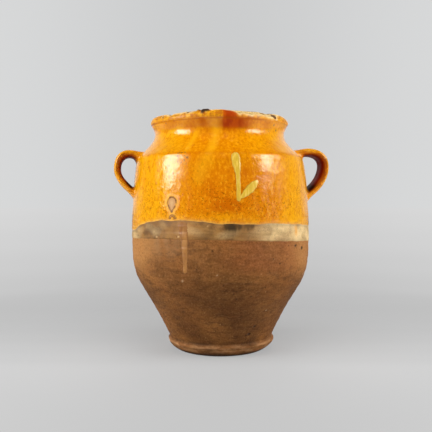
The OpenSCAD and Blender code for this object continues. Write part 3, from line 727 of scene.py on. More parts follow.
def glaze_fields(turn, s):
    z = z_at(s)
    t = turn_gap(turn, 0)
    streak = streak_field(turn, z)
    uneven = ripple(turn, z, 61, 16, 40, 24)
    under_lip = smooth(z, 268, 273) * (1 - smooth(z, 279, 282.5))
    # Darker glaze in the band under the lip
    pool = under_lip * np.clip(0.75 + 0.25 * uneven, 0, 1) * np.clip(1.15 - smooth(np.abs(t + 4), 34, 66), 0.3, 1)
    pool = pool * (1 - 0.75 * bell(t, -12.5, 5.5)) * (1 - 0.7 * smooth(t, 22, 40)) + 0.5 * bell(t, -21.5, 3) * smooth(z, 268, 274) * (1 - smooth(z, 282, 284))
    tongue = smooth(t, -6.8, -4.6) * (1 - smooth(t, 4, 24)) * smooth(z, 263 + 0.3 * np.abs(t - 1), 274)
    tongue = tongue * (1 - 0.9 * smooth(z, 280, 284) * smooth(t, 3, 9))
    band = smooth(z, 281.2, 283) * (1 - tongue * 0.9)
    # Painted shade along the crease under the lip
    crease = bell(z, LIP_Z - 0.4, 1.0) * (1 - 0.75 * smooth(t, 22, 34) * (1 - smooth(t, 80, 100)))
    # Darker orange at the front: partly the glaze's own tone, partly painted shade where the side lamps fall off
    front = bell(t, -6, 24) * smooth(z, 168, 178) * (1 - smooth(z, 206, 232)) + 0.7 * bell(t, 0, 15) * bell(z, 216, 22)
    # Yellower towards the sides: partly the glaze's own tone, partly painted light from the side lamps
    side = smooth(np.abs(t + 1), 22, 50) * (1 - 0.6 * smooth(np.abs(t), 105, 150))
    # Painted shade along the groove at the shoulder's corner
    shoulder = bell(z, SHOULDER_Z + 0.5, 1.5)
    edge_gap = s - s_at(glaze_edge(turn))
    thin = np.exp(-np.clip(edge_gap, 0, 30) / 1.6)
    worn = smooth(crest_worn(turn, s, 3.6, 31) - s, 3.2, 0.4)
    chipped = 0.6 * smooth(chips(turn, s)[0], 0.02, 0.2)
    specks = np.clip(bell(z, 182, 20) * (0.6 + 0.4 * bell(t, -10, 50)) + 0.22 * bell(z, 225, 30) + 0.15 * uneven, 0.05, 1)
    drop = drop_gap(turn, z)
    drop_rim = smooth(1.5 - np.abs(drop - 0.5), 0, 1.0) * np.clip(0.72 + 0.5 * ripple(turn * 5, z * 5, 63, 30, 40), 0.1, 1)
    arch = smooth(0.9 - np.abs(arch_gap(turn, z) - 0.1), 0, 0.8)
    for direction, height, size in ((47.0, 271.0, 1.9), (42.0, 276.5, 1.6), (-56.0, 279.0, 1.2), (36.0, 268.0, 0.9)):
        drop_rim = np.maximum(drop_rim, smooth(spot_reach(turn, s, direction, height, size, size * 0.9), 0, 0.6))
    scuffed = spot_reach(turn, s, -33.0, 235.0, 10.5, 9.0)
    scuff = smooth(scuffed, 0, 0.25) * (0.4 + 0.6 * smooth(scuffed, 0.7, 0.4))
    halo = smooth(4.6 - np.abs(drop - 1.5), 0.4, 3.0) + 0.4 * bell(arch_gap(turn, z), 0.5, 2.2)
    return {"streak": streak * (1 - tongue), "pool": pool, "tongue": tongue, "band": band, "crease": crease,
            "front": np.clip(front, 0, 1), "side": side, "shoulder": shoulder, "thin": thin,
            "worn": np.maximum(worn, chipped), "lip": smooth(z, 280.5, 283), "specks": specks, "rim": np.maximum(drop_rim, arch), "halo": halo, "scuff": scuff,
            "crust": crust(turn, s), "soft": smooth(t, 14, 30) * (1 - smooth(t, 80, 110))}


def glaze_paint(name="ochre_glaze", fields=True):
    p = Paint(name)
    p.shader.inputs["Specular Tint"].default_value = (0.84, 1.0, 0.88, 1)
    clouds = p.noise(26, 4, 0.55)
    drips = p.noise(1.0, 4, 0.55, p.stretched(120, 120, 22))
    mottle = p.noise(1.0, 3, 0.65, p.stretched(330, 330, 210))
    fine = p.noise(480, 2, 0.6)
    colour = p.mix(p.span(clouds, 0.36, 0.66), rgb(224, 132, 0), rgb(240, 158, 4))
    colour = p.mix(p.math("MULTIPLY", p.span(drips, 0.5, 0.68), 0.4), colour, rgb(224, 124, 0))
    # Yellower sides: partly the glaze's tone, partly painted light
    colour = p.mix(p.math("MULTIPLY", p.field("side"), 0.6), colour, rgb(238, 174, 14))
    # Darker front: partly the glaze's tone, partly painted shade
    colour = p.mix(p.math("MULTIPLY", p.field("front"), 0.95), colour, p.mix(p.span(clouds, 0.4, 0.6), rgb(226, 130, 2), rgb(208, 104, 0)))
    colour = p.mix(p.math("MULTIPLY", p.span(mottle, 0.50, 0.66), 0.55), colour, rgb(206, 104, 0))
    colour = p.mix(p.math("MULTIPLY", p.span(mottle, 0.48, 0.34), 0.45), colour, rgb(252, 182, 30))
    colour = p.mix(p.math("MULTIPLY", p.field("streak"), 0.55), colour, rgb(250, 182, 22))
    # Darker under the lip
    colour = p.mix(p.math("MULTIPLY", p.field("pool"), 0.9), colour, rgb(182, 84, 0))
    colour = p.mix(p.math("MULTIPLY", p.field("band"), 0.75), colour, p.mix(p.span(p.noise(190, 4, 0.7), 0.42, 0.58), rgb(176, 92, 0), rgb(232, 164, 18)))
    colour = p.mix(p.field("tongue"), colour, p.mix(p.span(drips, 0.42, 0.6), rgb(172, 58, 0), rgb(192, 78, 0)))
    # Painted shade along the crease under the lip
    colour = p.mix(p.math("MULTIPLY", p.field("crease"), 0.7), colour, rgb(170, 78, 0))
    # Painted shade along the groove at the shoulder's corner
    colour = p.mix(p.math("MULTIPLY", p.field("shoulder"), 0.35), colour, rgb(206, 112, 4))
    small = p.math("MULTIPLY", p.span(fine, 0.56, 0.66), p.field("specks"))
    colour = p.mix(p.math("MULTIPLY", small, 0.75), colour, rgb(150, 70, 0))
    colour = p.mix(p.math("MULTIPLY", p.specks(150, 0.22, 0.05), 0.6), colour, rgb(120, 54, 4))
    colour = p.mix(p.math("MULTIPLY", p.field("halo"), 0.36), colour, rgb(248, 190, 84))
    colour = p.mix(p.math("MULTIPLY", p.field("thin"), 0.6), colour, rgb(226, 170, 84))
    scratched = p.math("MULTIPLY", p.field("scuff"), p.span(p.noise(330, 3, 0.6), 0.55, 0.60))
    colour = p.mix(p.math("MULTIPLY", scratched, 0.9), colour, rgb(110, 66, 10))
    colour = p.mix(p.field("rim"), colour, rgb(104, 54, 14))
    colour = p.mix(p.math("MULTIPLY", p.field("worn"), 0.85), colour, rgb(244, 214, 150))
    colour = p.mix(p.field("crust"), colour, rgb(58, 40, 26))
    marked = p.math("MAXIMUM", p.field("rim"), p.math("MAXIMUM", p.field("halo"), scratched))
    dull = p.math("MAXIMUM", p.field("lip"), marked)
    worn_sheen = p.noise(1.0, 4, 0.7, p.stretched(150, 150, 60))
    rough = p.math("ADD", p.span(worn_sheen, 0.42, 0.60, 0.06, 0.20), p.math("MULTIPLY", dull, 0.3))
    rough = p.math("ADD", rough, p.math("MULTIPLY", p.field("soft"), 0.04))
    height = p.math("ADD", p.math("MULTIPLY", p.noise(62, 3, 0.5), 2.4), p.math("MULTIPLY", mottle, 0.5))
    height = p.math("ADD", height, p.math("MULTIPLY", p.noise(170, 4, 0.7), 0.8))
    p.finish(colour, rough, p.bump(height, 0.0006, 0.55), 1.5, 0.5)
    matt = p.math("MAXIMUM", p.math("MULTIPLY", dull, 0.6), p.math("MAXIMUM", p.field("tongue"), p.field("pool")))
    p.put(p.shader.inputs["Specular IOR Level"], p.span(matt, 0.0, 1.0, 0.5, 0.12))
    return p.material


def make_glaze():
    s = spaced([(s_at(149), 0.85), (s_at(176), 1.2), (s_at(232), 1.1), (s_at(250), 1.5), (s_at(262), 1.0),
                S_CREST - 1.0])
    piece = coat_sheet("ochre_glaze_skin", 576, s, lambda t: glaze_edge(t) - 2.2, glaze_height, 0.3, glaze_fields)
    return settle(piece, "ochre_glaze", glaze_paint(), "outer_glaze")


def lining_paint():
    p = Paint("lining_glaze")
    clouds = p.noise(20, 4, 0.6)
    fine = p.noise(260, 4, 0.65)
    colour = p.mix(p.span(clouds, 0.35, 0.66), rgb(160, 96, 24), rgb(196, 126, 40))
    colour = p.mix(p.math("MULTIPLY", p.span(fine, 0.54, 0.7), 0.6), colour, rgb(120, 66, 14))
    colour = p.mix(p.math("MULTIPLY", p.specks(140, 0.4, 0.2), 0.6), colour, rgb(88, 44, 10))
    rough = p.span(fine, 0.3, 0.7, 0.14, 0.3)
    return p.finish(colour, rough, p.bump(clouds, 0.0012, 0.4), 1.7, 0.5)


def make_lining():
    """The glaze inside: a closed shell from just inside the crest down to the floor's middle."""
    columns = 256
    s = spaced([(S_CREST + 3.0, 1.2), (S_CREST + 12, 3.0), (S_CREST + 60, 5.0), S_END])
    turn = np.arange(columns) * 360 / columns - 180
    turns, lengths = np.meshgrid(turn, s[:-1])
    ragged = 0.7 * ripple(turns, 0, 71, 40, 1e9, 18)
    body = coat_body(lengths - S_CREST - 4.2 + ragged, 1.6)
    top = place(turns, lengths, INNER_T * body).reshape(-1, 3)
    under = place(turns, lengths, -0.5).reshape(-1, 3)
    rows = len(s) - 1
    count = rows * columns
    j = np.arange(columns)
    k = (j + 1) % columns
    last = (rows - 1) * columns
    middle = 2 * count
    points = np.concatenate([top, under, place([0.0], [S_END], INNER_T), place([0.0], [S_END], -0.5)])
    faces = list(wrap_faces(rows, columns)) + list(wrap_faces(rows, columns, count)[:, ::-1])
    faces += list(np.column_stack([j + count, k + count, k, j]))
    faces += list(np.column_stack([last + j, last + k, np.full(columns, middle)]))
    faces += list(np.column_stack([count + last + k, count + last + j, np.full(columns, middle + 1)]))
    piece = mesh_piece("lining_glaze_skin", points, faces)
    return settle(piece, "lining_glaze", lining_paint(), "inner_glaze")


def ribbon(line, halves, height, dome, across=13, sink=0.35, rising=None):
    """Points and faces of a closed brush dab or drip on the wall. line is (direction, height) pairs, halves
    its half widths in mm, height the level it lies on and dome its own thickness."""
    line, halves = np.asarray(line, float), np.asarray(halves, float)
    z = line[:, 1]
    arc = np.radians(line[:, 0]) * r_at(s_at(z))
    way = np.gradient(np.column_stack([arc, z]), axis=0)
    way /= np.linalg.norm(way, axis=1)[:, None]
    side = np.column_stack([-way[:, 1], way[:, 0]])
    u = np.linspace(-1, 1, across)
    a = arc[:, None] + side[:, :1] * halves[:, None] * u
    up = z[:, None] + side[:, 1:] * halves[:, None] * u
    s = s_at(up)
    turn = np.degrees(a / r_at(s))
    profile = np.sin(np.arccos(np.abs(u))) ** 0.8
    thick = dome * np.minimum(1, halves / halves.max() * 1.6)[:, None] * profile - sink * (np.abs(u) == 1)
    thick = thick * rising[:, None] if rising is not None else thick
    top = place(turn, s, height(turn, s) + thick)
    low = place(turn, s, height(turn, s) - sink)
    rows, count = len(line), len(line) * across
    points = np.concatenate([top.reshape(-1, 3), low.reshape(-1, 3)])
    faces = [open_faces(rows, across), open_faces(rows, across, count)[:, ::-1]]
    i = np.arange(rows - 1) * across
    for column, flip in ((0, 1), (across - 1, -1)):
        wall = np.column_stack([i + column, i + across + column, i + across + column + count, i + column + count])
        faces.append(wall[:, ::flip])
    j = np.arange(across - 1)
    for row, flip in ((0, -1), ((rows - 1) * across, 1)):
        wall = np.column_stack([row + j, row + j + 1, row + j + 1 + count, row + j + count])
        faces.append(wall[:, ::-flip])
    values = np.concatenate([np.broadcast_to(1 - np.abs(u), (rows, across)).ravel(), np.zeros(count)])
    return points, np.concatenate(faces), values


def eased(stops, count):
    """Evenly spaced rows of numbers along a smooth way through the given rows."""
    stops = np.asarray(stops, float)
    t = np.linspace(0, len(stops) - 1, count)
    i = np.clip(t.astype(int), 0, len(stops) - 2)
    f = (t - i)[:, None]
    padded = np.concatenate([2 * stops[:1] - stops[1:2], stops, 2 * stops[-1:] - stops[-2:-1]])
    p0, p1, p2, p3 = (padded[i + k] for k in range(4))
    return 0.5 * (2 * p1 + (p2 - p0) * f + (2 * p0 - 5 * p1 + 4 * p2 - p3) * f ** 2 + (3 * p1 - p0 - 3 * p2 + p3) * f ** 3)


# The brushed dabs: direction, height and half width in mm
STEM = [(0.6, 240.2, 0.6), (0.7, 239.2, 3.3), (0.9, 236.5, 4.8), (1.0, 232.0, 5.1), (1.3, 226.0, 4.6),
        (1.7, 220.0, 3.4), (1.9, 214.0, 2.6), (2.0, 207.0, 2.5), (2.1, 199.0, 2.5), (2.1, 192.0, 2.6),
        (2.2, 188.0, 2.3), (2.2, 186.6, 1.5), (2.2, 186.2, 0.5)]
LEAF = [(2.6, 190.0, 0.5), (3.4, 190.8, 1.8), (5.0, 192.8, 2.9), (7.2, 196.6, 4.3), (9.4, 200.6, 4.9),
        (11.4, 204.4, 4.3), (12.8, 207.0, 3.0), (13.6, 208.6, 1.9), (13.9, 209.2, 0.6)]
RUN = [(-30.4, 163.0, 5.4), (-30.6, 160, 6.0), (-30.6, 156, 6.2), (-30.2, 151, 5.9), (-29.7, 147, 5.2),
       (-29.4, 143, 5.1), (-29.5, 136, 4.4), (-29.4, 128, 3.8), (-29.3, 120, 3.1), (-29.4, 113, 2.8),
       (-29.5, 108.5, 2.7), (-29.6, 106.6, 2.3), (-29.6, 105.6, 0.6)]


def straw_paint():
    p = Paint("straw_slip")
    brush = p.noise(1.0, 4, 0.6, p.stretched(420, 420, 60))
    colour = p.mix(p.span(brush, 0.38, 0.62), rgb(224, 180, 58), rgb(234, 192, 68))
    colour = p.mix(p.span(p.field("middle"), 0.35, 0.02), colour, rgb(214, 166, 48))
    rough = p.span(brush, 0.3, 0.7, 0.16, 0.3)
    return p.finish(colour, rough, p.bump(brush, 0.0004, 0.5), 1.6, 0.5)


def run_paint():
    p = Paint("run_glaze")
    wash = p.noise(1.0, 4, 0.6, p.stretched(260, 260, 60))
    colour = p.mix(p.span(wash, 0.35, 0.65), rgb(142, 88, 28), rgb(170, 114, 46))
    colour = p.mix(p.math("MULTIPLY", p.span(p.field("middle"), 0.4, 0.05), 0.6), colour, rgb(140, 92, 50))
    return p.finish(colour, p.span(wash, 0.3, 0.7, 0.3, 0.5), p.bump(wash, 0.0003, 0.5), 1.5, 0.5)


def make_marks():
    parts = []
    level = lambda turn, s: SLIP_T + GLAZE_T + 0.02
    for stops, count in ((STEM, 72), (LEAF, 48)):
        rows = eased(stops, count)
        wobble = 1 + 0.05 * np.sin(np.arange(count) * 0.9) * smooth(np.arange(count), 4, 10)
        parts.append(ribbon(rows[:, :2], np.maximum(rows[:, 2], 0.3) * wobble, level, 0.45))
    offset = len(parts[0][0])
    points = np.concatenate([parts[0][0], parts[1][0]])
    faces = np.concatenate([parts[0][1], parts[1][1] + offset])
    mark = mesh_piece("brushed_mark", points, faces, {"middle": np.concatenate([parts[0][2], parts[1][2]])})
    settle(mark, "straw_slip", straw_paint(), "brush_mark")
    rows = eased(RUN, 110)
    uneven = 1 + 0.06 * np.sin(np.arange(110) * 0.47) + 0.05 * np.sin(np.arange(110) * 1.13)
    drip_level = lambda turn, s: np.maximum(slip_height(turn, s), 0.0)
    rising = 0.15 + 0.85 * (1 - smooth(rows[:, 1], 140, 154))
    points, faces, middle = ribbon(rows[:, :2], np.maximum(rows[:, 2], 0.3) * uneven, drip_level, 0.55, rising=rising)
    run = mesh_piece("glaze_run_drip", points, faces, {"middle": middle})
    settle(run, "run_glaze", run_paint(), "glaze_run")


# The two straps: side of the jar, reach from the wall, thickness, lift, height between the roots, height
# of the lower root, and the share of the height that it hangs upright
STRAPS = {"handle_left": (-1, 27.4, 8.4, 0.0, 44.5, 13.5, 0.34),
          "handle_right": (1, 34.4, 9.8, 3.8, 52.5, 19.0, 0.41)}
# Where each strap is fuller on its inner side: share of its length, spread, and mm
STRAP_FULL = {"handle_left": (0.20, 0.22, 1.2), "handle_right": (0.74, 0.28, 1.3)}
STRAP_W, ROOT_FLARE, ROOT_RISE, TOP_ROOT_H, WIDE_DROP, BEND_UP = 28.5, 3.5, 1.2, 12.5, 15.2, 22.0


def wall_x(y, z):
    return np.sqrt(np.maximum(r_at(s_at(z)) ** 2 - np.square(y), 0))


def strap_line(reach, thick, lift, rise, hang, count):
    top_z = SHOULDER_Z + ROOT_RISE + lift
    top = point(float(wall_x(0, top_z)), top_z)
    out = point(float(wall_x(0, top_z - WIDE_DROP)) + reach - thick / 2, top_z - WIDE_DROP)
    low = point(float(wall_x(0, top_z - rise)), top_z - rise)
    upper = curve(top, top + point(11, 7), out + point(0, BEND_UP), out, 200)
    lower = curve(out, out - point(0, hang * rise), low + 3 * lean(45), low, 200)
    line = np.concatenate([upper, lower[1:]])
    length = along(line)
    even = np.linspace(0, length[-1], 801)
    return np.column_stack([np.interp(even, length, line[:, k]) for k in (0, 1)]), even, top, low


def rounded(angle, power=0.8):
    return np.sign(np.cos(angle)) * np.abs(np.cos(angle)) ** power, np.sign(np.sin(angle)) * np.abs(np.sin(angle)) ** power


def make_strap(node):
    side, reach, thick, lift, rise, low_h, hang = STRAPS[node]
    sides, rings, blend = 64, 110, 12
    line, length, top, low = strap_line(reach, thick, lift, rise, hang, rings)
    start, stop = 9.5, length[-1] - 9.0
    at = np.linspace(start, stop, rings)
    mid = np.column_stack([np.interp(at, length, line[:, k]) for k in (0, 1)])
    way = np.gradient(mid, axis=0)
    way /= np.linalg.norm(way, axis=1)[:, None]
    angle = np.arange(sides) * 2 * math.pi / sides
    cx, cy = rounded(angle, 0.70)
    share = (at - start) / (stop - start)
    flare = (1 - smooth(share, 0, 0.34)) ** 1.5 + smooth(share, 0.62, 1.0) ** 1.5
    seed = 80 if side < 0 else 90
    wave = 0.16 * ripple(share * 360, 0, seed, 3, 1e9)
    half_t = thick / 2 + 0.35 + 0.25 * flare + wave * 0.6
    half_w = STRAP_W / 2 + ROOT_FLARE / 2 * flare + wave * 0.8 + 0.5
    twist = 0.35 * ripple(share * 360, 0, seed + 2, 2, 1e9)
    hollow = np.exp(-(cy / 0.42) ** 2) * np.where(cx > 0, 0.35, -0.55)
    middle_share, spread, extra_in = STRAP_FULL[node]
    fuller = extra_in * bell(share, middle_share, spread)
    across = half_t[:, None] * cx - hollow + fuller[:, None] * np.clip(cx, 0, 1)
    points = np.stack([mid[:, :1] + across * way[:, 1:], half_w[:, None] * cy + twist[:, None] + 0 * across,
                       mid[:, 1:] - across * way[:, :1]], axis=-1)
    inner = np.broadcast_to(np.clip(cx, 0, 1), across.shape)
    outer = np.broadcast_to(np.clip(-cx, 0, 1), across.shape)
    edge = np.broadcast_to(np.abs(cy) ** 3, across.shape)

    def foot(root, half_h, sign, first, lead):
        """Rings that turn from the strap's first ring into a foot pressed flat on the wall."""
        lift_over = SLIP_T + GLAZE_T
        y = (STRAP_W + ROOT_FLARE) / 2 * 1.06 * cy
        z = root[1] + sign * half_h * cx * (1 + 0.3 * (cx > 0) * (sign < 0))
        x = wall_x(y, z) + lift_over
        middle = np.array([wall_x(0, root[1]) + lift_over, 0, root[1]])
        ring = np.column_stack([x, y, z])
        outward = ring - middle
        outward /= np.linalg.norm(outward, axis=1)[:, None]
        normal = np.column_stack([x, y, np.full(sides, 0.18 * x.mean())])
        normal /= np.linalg.norm(normal, axis=1)[:, None]
        gap = np.linalg.norm(ring - first, axis=1)[:, None]
        spread = ring + outward * 1.4
        t = np.linspace(0, 1, blend + 1)[1:, None, None]
        p1 = first + lead * 0.5 * gap
        p2 = ring - outward * 0.3 + normal * 0.3
        p3 = spread - normal * 0.55
        rows = (1 - t) ** 3 * first + 3 * (1 - t) ** 2 * t * p1 + 3 * (1 - t) * t * t * p2 + t ** 3 * p3
        buried = (p3 - normal * 4)[None]
        return np.concatenate([rows, buried])

    def lead_at(i, flip):
        d = flip * way[i]
        return np.array([d[0], 0, d[1]])

    upper = foot(top, TOP_ROOT_H / 2, -1, points[0], lead_at(0, -1))[::-1]
    lower = foot(low, low_h / 2, 1, points[-1], lead_at(-1, 1))
    extra = blend + 1
    grid = np.concatenate([upper, points, lower])
    pad = lambda field, a, b: np.concatenate([np.repeat(field[:1] * a, extra, 0), field, np.repeat(field[-1:] * b, extra, 0)])
    inner, outer, edge = pad(inner, 0.9, 1.0), pad(outer, 0.7, 0.7), pad(edge, 0.6, 0.6)
    rows = len(grid)
    place_share = np.concatenate([np.zeros(extra), share, np.ones(extra)])
    root = np.concatenate([np.linspace(1, 0.4, extra), 0.4 * (1 - smooth(share, 0, 0.12)) + 0.4 * smooth(share, 0.88, 1),
                           np.linspace(0.4, 1, extra)])
    flat = grid.reshape(-1, 3) * np.array([side, 1, 1]) * MM
    caps = [np.arange(sides)[::-1], (rows - 1) * sides + np.arange(sides)]
    faces = list(wrap_faces(rows, sides)) + caps
    if side > 0:
        faces = [f[::-1] for f in faces]
    fields = {"inner": inner, "outer": outer, "edge": edge, "root": np.repeat(root[:, None], sides, 1),
              "share": np.repeat(place_share[:, None], sides, 1)}
    piece = mesh_piece(node + "_strap", flat, faces, fields)
    return settle(piece, "glazed_strap", strap_paint(node), node)


# Where along a strap its glaze is darkest, as shares of its length
STRAP_DARK = {"handle_left": (0.20, 0.58), "handle_right": (0.32, 0.74)}


def strap_paint(node):
    p = Paint("glazed_" + node)
    clouds = p.noise(60, 4, 0.6)
    mottle = p.noise(260, 4, 0.65)
    share, inner, outer = p.field("share"), p.field("inner"), p.field("outer")
    dark_from, dark_to = STRAP_DARK[node]
    colour = p.mix(p.span(clouds, 0.36, 0.64), rgb(198, 112, 4), rgb(222, 148, 14))
    bend = p.math("MULTIPLY", p.span(share, dark_from - 0.12, dark_from + 0.06), p.span(share, dark_to + 0.12, dark_to - 0.06))
    # The outer side of the strap, which gets a painted highlight below
    rim = p.span(outer, 0.10, 0.62)
    colour = p.mix(p.math("MULTIPLY", bend, 0.85), colour, rgb(152, 66, 0))
    # Painted highlight along the strap's outer side
    colour = p.mix(p.math("MULTIPLY", rim, 0.85), colour, rgb(240, 168, 24))
    colour = p.mix(p.math("MULTIPLY", p.span(mottle, 0.5, 0.66), p.span(rim, 0.0, 1.0, 0.5, 0.3)), colour, rgb(160, 76, 0))
    colour = p.mix(p.math("MULTIPLY", p.span(mottle, 0.48, 0.34), 0.4), colour, rgb(250, 180, 36))
    # Painted shade on the strap's inner side, facing the wall: dark red
    colour = p.mix(p.math("MULTIPLY", p.span(inner, 0.02, 0.3), 0.75), colour, rgb(150, 60, 0))
    colour = p.mix(p.math("MULTIPLY", p.span(inner, 0.35, 0.75), 0.95), colour, rgb(112, 18, 4))
    # Painted shade in the inner corner at the lower root, over glaze pooled there
    corner_shade_and_pool = p.math("MULTIPLY", p.span(share, 0.80, 0.96), p.span(inner, 0.1, 0.6))
    colour = p.mix(corner_shade_and_pool, colour, rgb(34, 10, 4))
    colour = p.mix(p.math("MULTIPLY", p.span(p.field("root"), 0.45, 1.0), 0.8), colour, rgb(238, 150, 14))
    colour = p.mix(p.math("MULTIPLY", p.specks(300, 0.4, 0.15), 0.4), colour, rgb(120, 56, 4))
    rough = p.math("ADD", p.span(mottle, 0.3, 0.7, 0.14, 0.28), p.math("MULTIPLY", inner, 0.25))
    height = p.math("ADD", clouds, p.math("MULTIPLY", mottle, 0.4))
    p.shader.inputs["Specular Tint"].default_value = (1.0, 0.88, 0.70, 1)
    p.finish(colour, rough, p.bump(height, 0.0006, 0.4), 1.45, 0.5)
    p.put(p.shader.inputs["Specular IOR Level"], p.span(inner, 0.0, 0.5, 0.5, 0.06))
    return p.material


# The camera, fitted to the photograph's silhouette: picture size and focal length in pixels, distance,
# height, and the jar's turn and place in the picture
PICTURE_PX = 432
FOCAL_PX = 614.4
CAMERA_D, CAMERA_H, CAMERA_SIDE = 786.9, 187.9, -5.6
JAR_TURN, CAMERA_DOWN = 8.0, 1.514
SENSOR = 36.0


def make_camera():
    turn, down = math.radians(JAR_TURN), math.radians(CAMERA_DOWN)
    data = bpy.data.cameras.new("camera")
    data.sensor_width = SENSOR
    data.lens = SENSOR * FOCAL_PX / PICTURE_PX
    data.clip_start, data.clip_end = 0.02, 40
    camera = bpy.data.objects.new("camera", data)
    x = CAMERA_SIDE * math.cos(turn) - CAMERA_D * math.sin(turn)
    y = -CAMERA_SIDE * math.sin(turn) - CAMERA_D * math.cos(turn)
    camera.location = (x * MM, y * MM, CAMERA_H * MM)
    look = Vector((math.sin(turn) * math.cos(down), math.cos(turn) * math.cos(down), -math.sin(down)))
    camera.rotation_euler = look.to_track_quat("-Z", "Y").to_euler()
    bpy.context.scene.collection.objects.link(camera)
    bpy.context.scene.camera = camera


def make_lamp(name, turn, height, distance, width, tall, power, mirrored, target=0.2):
    """A soft box that looks at the jar. Its direction is measured from the camera's side. It is either seen
    in the glaze as a reflection, or lights the surfaces."""
    data = bpy.data.lights.new(name, "AREA")
    data.shape = "ELLIPSE"
    data.size, data.size_y, data.energy = width, tall, power
    lamp = bpy.data.objects.new(name, data)
    a, e = math.radians(turn - JAR_TURN), math.radians(height)
    lamp.location = (distance * math.cos(e) * math.sin(a), -distance * math.cos(e) * math.cos(a),
                     target + distance * math.sin(e))
    aim = Vector((0, 0, target)) - lamp.location
    lamp.rotation_euler = aim.to_track_quat("-Z", "Y").to_euler()
    lamp.visible_glossy = mirrored
    lamp.visible_diffuse = not mirrored
    bpy.context.scene.collection.objects.link(lamp)


# The paper's paleness on a screen, by the distance behind the jar in metres, and how much darker it is
# straight behind the jar than at the sides, which is painted shade from the jar.
PAPER = ((-0.45, 208), (-0.27, 209), (-0.107, 210), (-0.065, 206), (-0.017, 203), (0.04, 199), (0.10, 196),
         (0.175, 194), (0.263, 193), (0.368, 194.5), (0.5, 198), (0.657, 200.5), (1.14, 206), (2.1, 210.5),
         (5.0, 214), (12.0, 216))
MIDDLE_SHARE = 0.895
WALL_LEVEL = 216
FLOOR_LIT = 1.04


def painted(tree, value, stops, low, high):
    """A colour ramp of greys over a value from low to high."""
    share = tree.nodes.new("ShaderNodeMapRange")
    tree.links.new(value, share.inputs[0])
    share.inputs[1].default_value, share.inputs[2].default_value = low, high
    ramp = tree.nodes.new("ShaderNodeValToRGB")
    ramp.color_ramp.interpolation = "EASE"
    tree.links.new(share.outputs[0], ramp.inputs[0])
    elements = ramp.color_ramp.elements
    while len(elements) < len(stops):
        elements.new(0.5)
    for element, (at, level) in zip(elements, stops):
        element.position = (at - low) / (high - low)
        element.color = rgb(level, level, level)
    return ramp.outputs[0]


def make_floor():
    """A wide paper sheet. Near the jar it is lit and keeps the jar's shadow. Further off the camera sees
    it as pale as it is written here, up to the backdrop."""
    rings = np.concatenate([np.linspace(0.02, 1, 40), np.linspace(1.15, 3, 14), np.linspace(3.5, 14, 12)])
    columns = 96
    a = np.arange(columns) * 2 * math.pi / columns
    points = np.stack([rings[:, None] * np.sin(a), rings[:, None] * np.cos(a), np.zeros((len(rings), columns))], -1)
    points = np.concatenate([points.reshape(-1, 3), [[0, 0, 0]]])
    faces = list(wrap_faces(len(rings), columns)[:, ::-1])
    j = np.arange(columns)
    faces += list(np.column_stack([np.full(columns, len(points) - 1), j, (j + 1) % columns])[:, ::-1])
    floor = mesh_piece("floor", points, faces)
    p = Paint("floor")
    parts = p.add("ShaderNodeSeparateXYZ")
    p.put(parts.inputs[0], p.place)
    x, y = parts.outputs[0], parts.outputs[1]
    turn = math.radians(JAR_TURN)
    ahead = p.math("ADD", p.math("MULTIPLY", x, math.sin(turn)), p.math("MULTIPLY", y, math.cos(turn)))
    side = p.math("SUBTRACT", p.math("MULTIPLY", x, math.cos(turn)), p.math("MULTIPLY", y, math.sin(turn)))
    near_stops = [s for s in PAPER if s[0] < 0.7]
    far_stops = [s for s in PAPER if s[0] > 0.45]
    near = painted(p.tree, ahead, near_stops, -0.5, 0.7)
    radius = p.add("ShaderNodeVectorMath", operation="LENGTH")
    p.put(radius.inputs[0], p.place)
    distance = radius.outputs["Value"]
    log_stops = [(math.log(at), level) for at, level in far_stops]
    far = painted(p.tree, p.math("LOGARITHM", distance, math.e), log_stops, math.log(0.45), math.log(14))
    level = p.mix(p.span(distance, 0.5, 0.66), near, far)
    # Painted shade: the paper is darker in a strip straight behind the jar, as the jar's soft shadow
    reach = p.math("MAXIMUM", p.math("MAXIMUM", ahead, 0.0), p.math("SUBTRACT", -0.5, ahead))
    width = p.math("ADD", p.math("MULTIPLY", reach, 0.40), 0.32)
    off = p.math("ABSOLUTE", p.math("DIVIDE", side, width))
    shade = p.span(off, 0.0, 1.0, MIDDLE_SHARE, 1.0)
    grey = p.add("ShaderNodeCombineColor")
    for socket in grey.inputs[:3]:
        p.put(socket, shade)
    seen = p.mix(1.0, level, grey.outputs[0], "MULTIPLY")
    own = p.mix(1.0, seen, (1 / FLOOR_LIT, 1 / FLOOR_LIT, 1 / FLOOR_LIT, 1), "MULTIPLY")
    p.finish(own, 0.9, None, 1.45, 0.1)
    glow = p.add("ShaderNodeEmission")
    p.put(glow.inputs[0], seen)
    path = p.add("ShaderNodeLightPath")
    share = p.math("MULTIPLY", path.outputs["Is Camera Ray"], p.span(distance, 0.09, 0.32, 0.62, 1.0))
    both = p.add("ShaderNodeMixShader")
    p.put(both.inputs[0], share)
    p.put(both.inputs[1], p.shader.outputs[0])
    p.put(both.inputs[2], glow.outputs[0])
    p.put(p.tree.nodes["Material Output"].inputs[0], both.outputs[0])
    floor.data.materials.append(p.material)


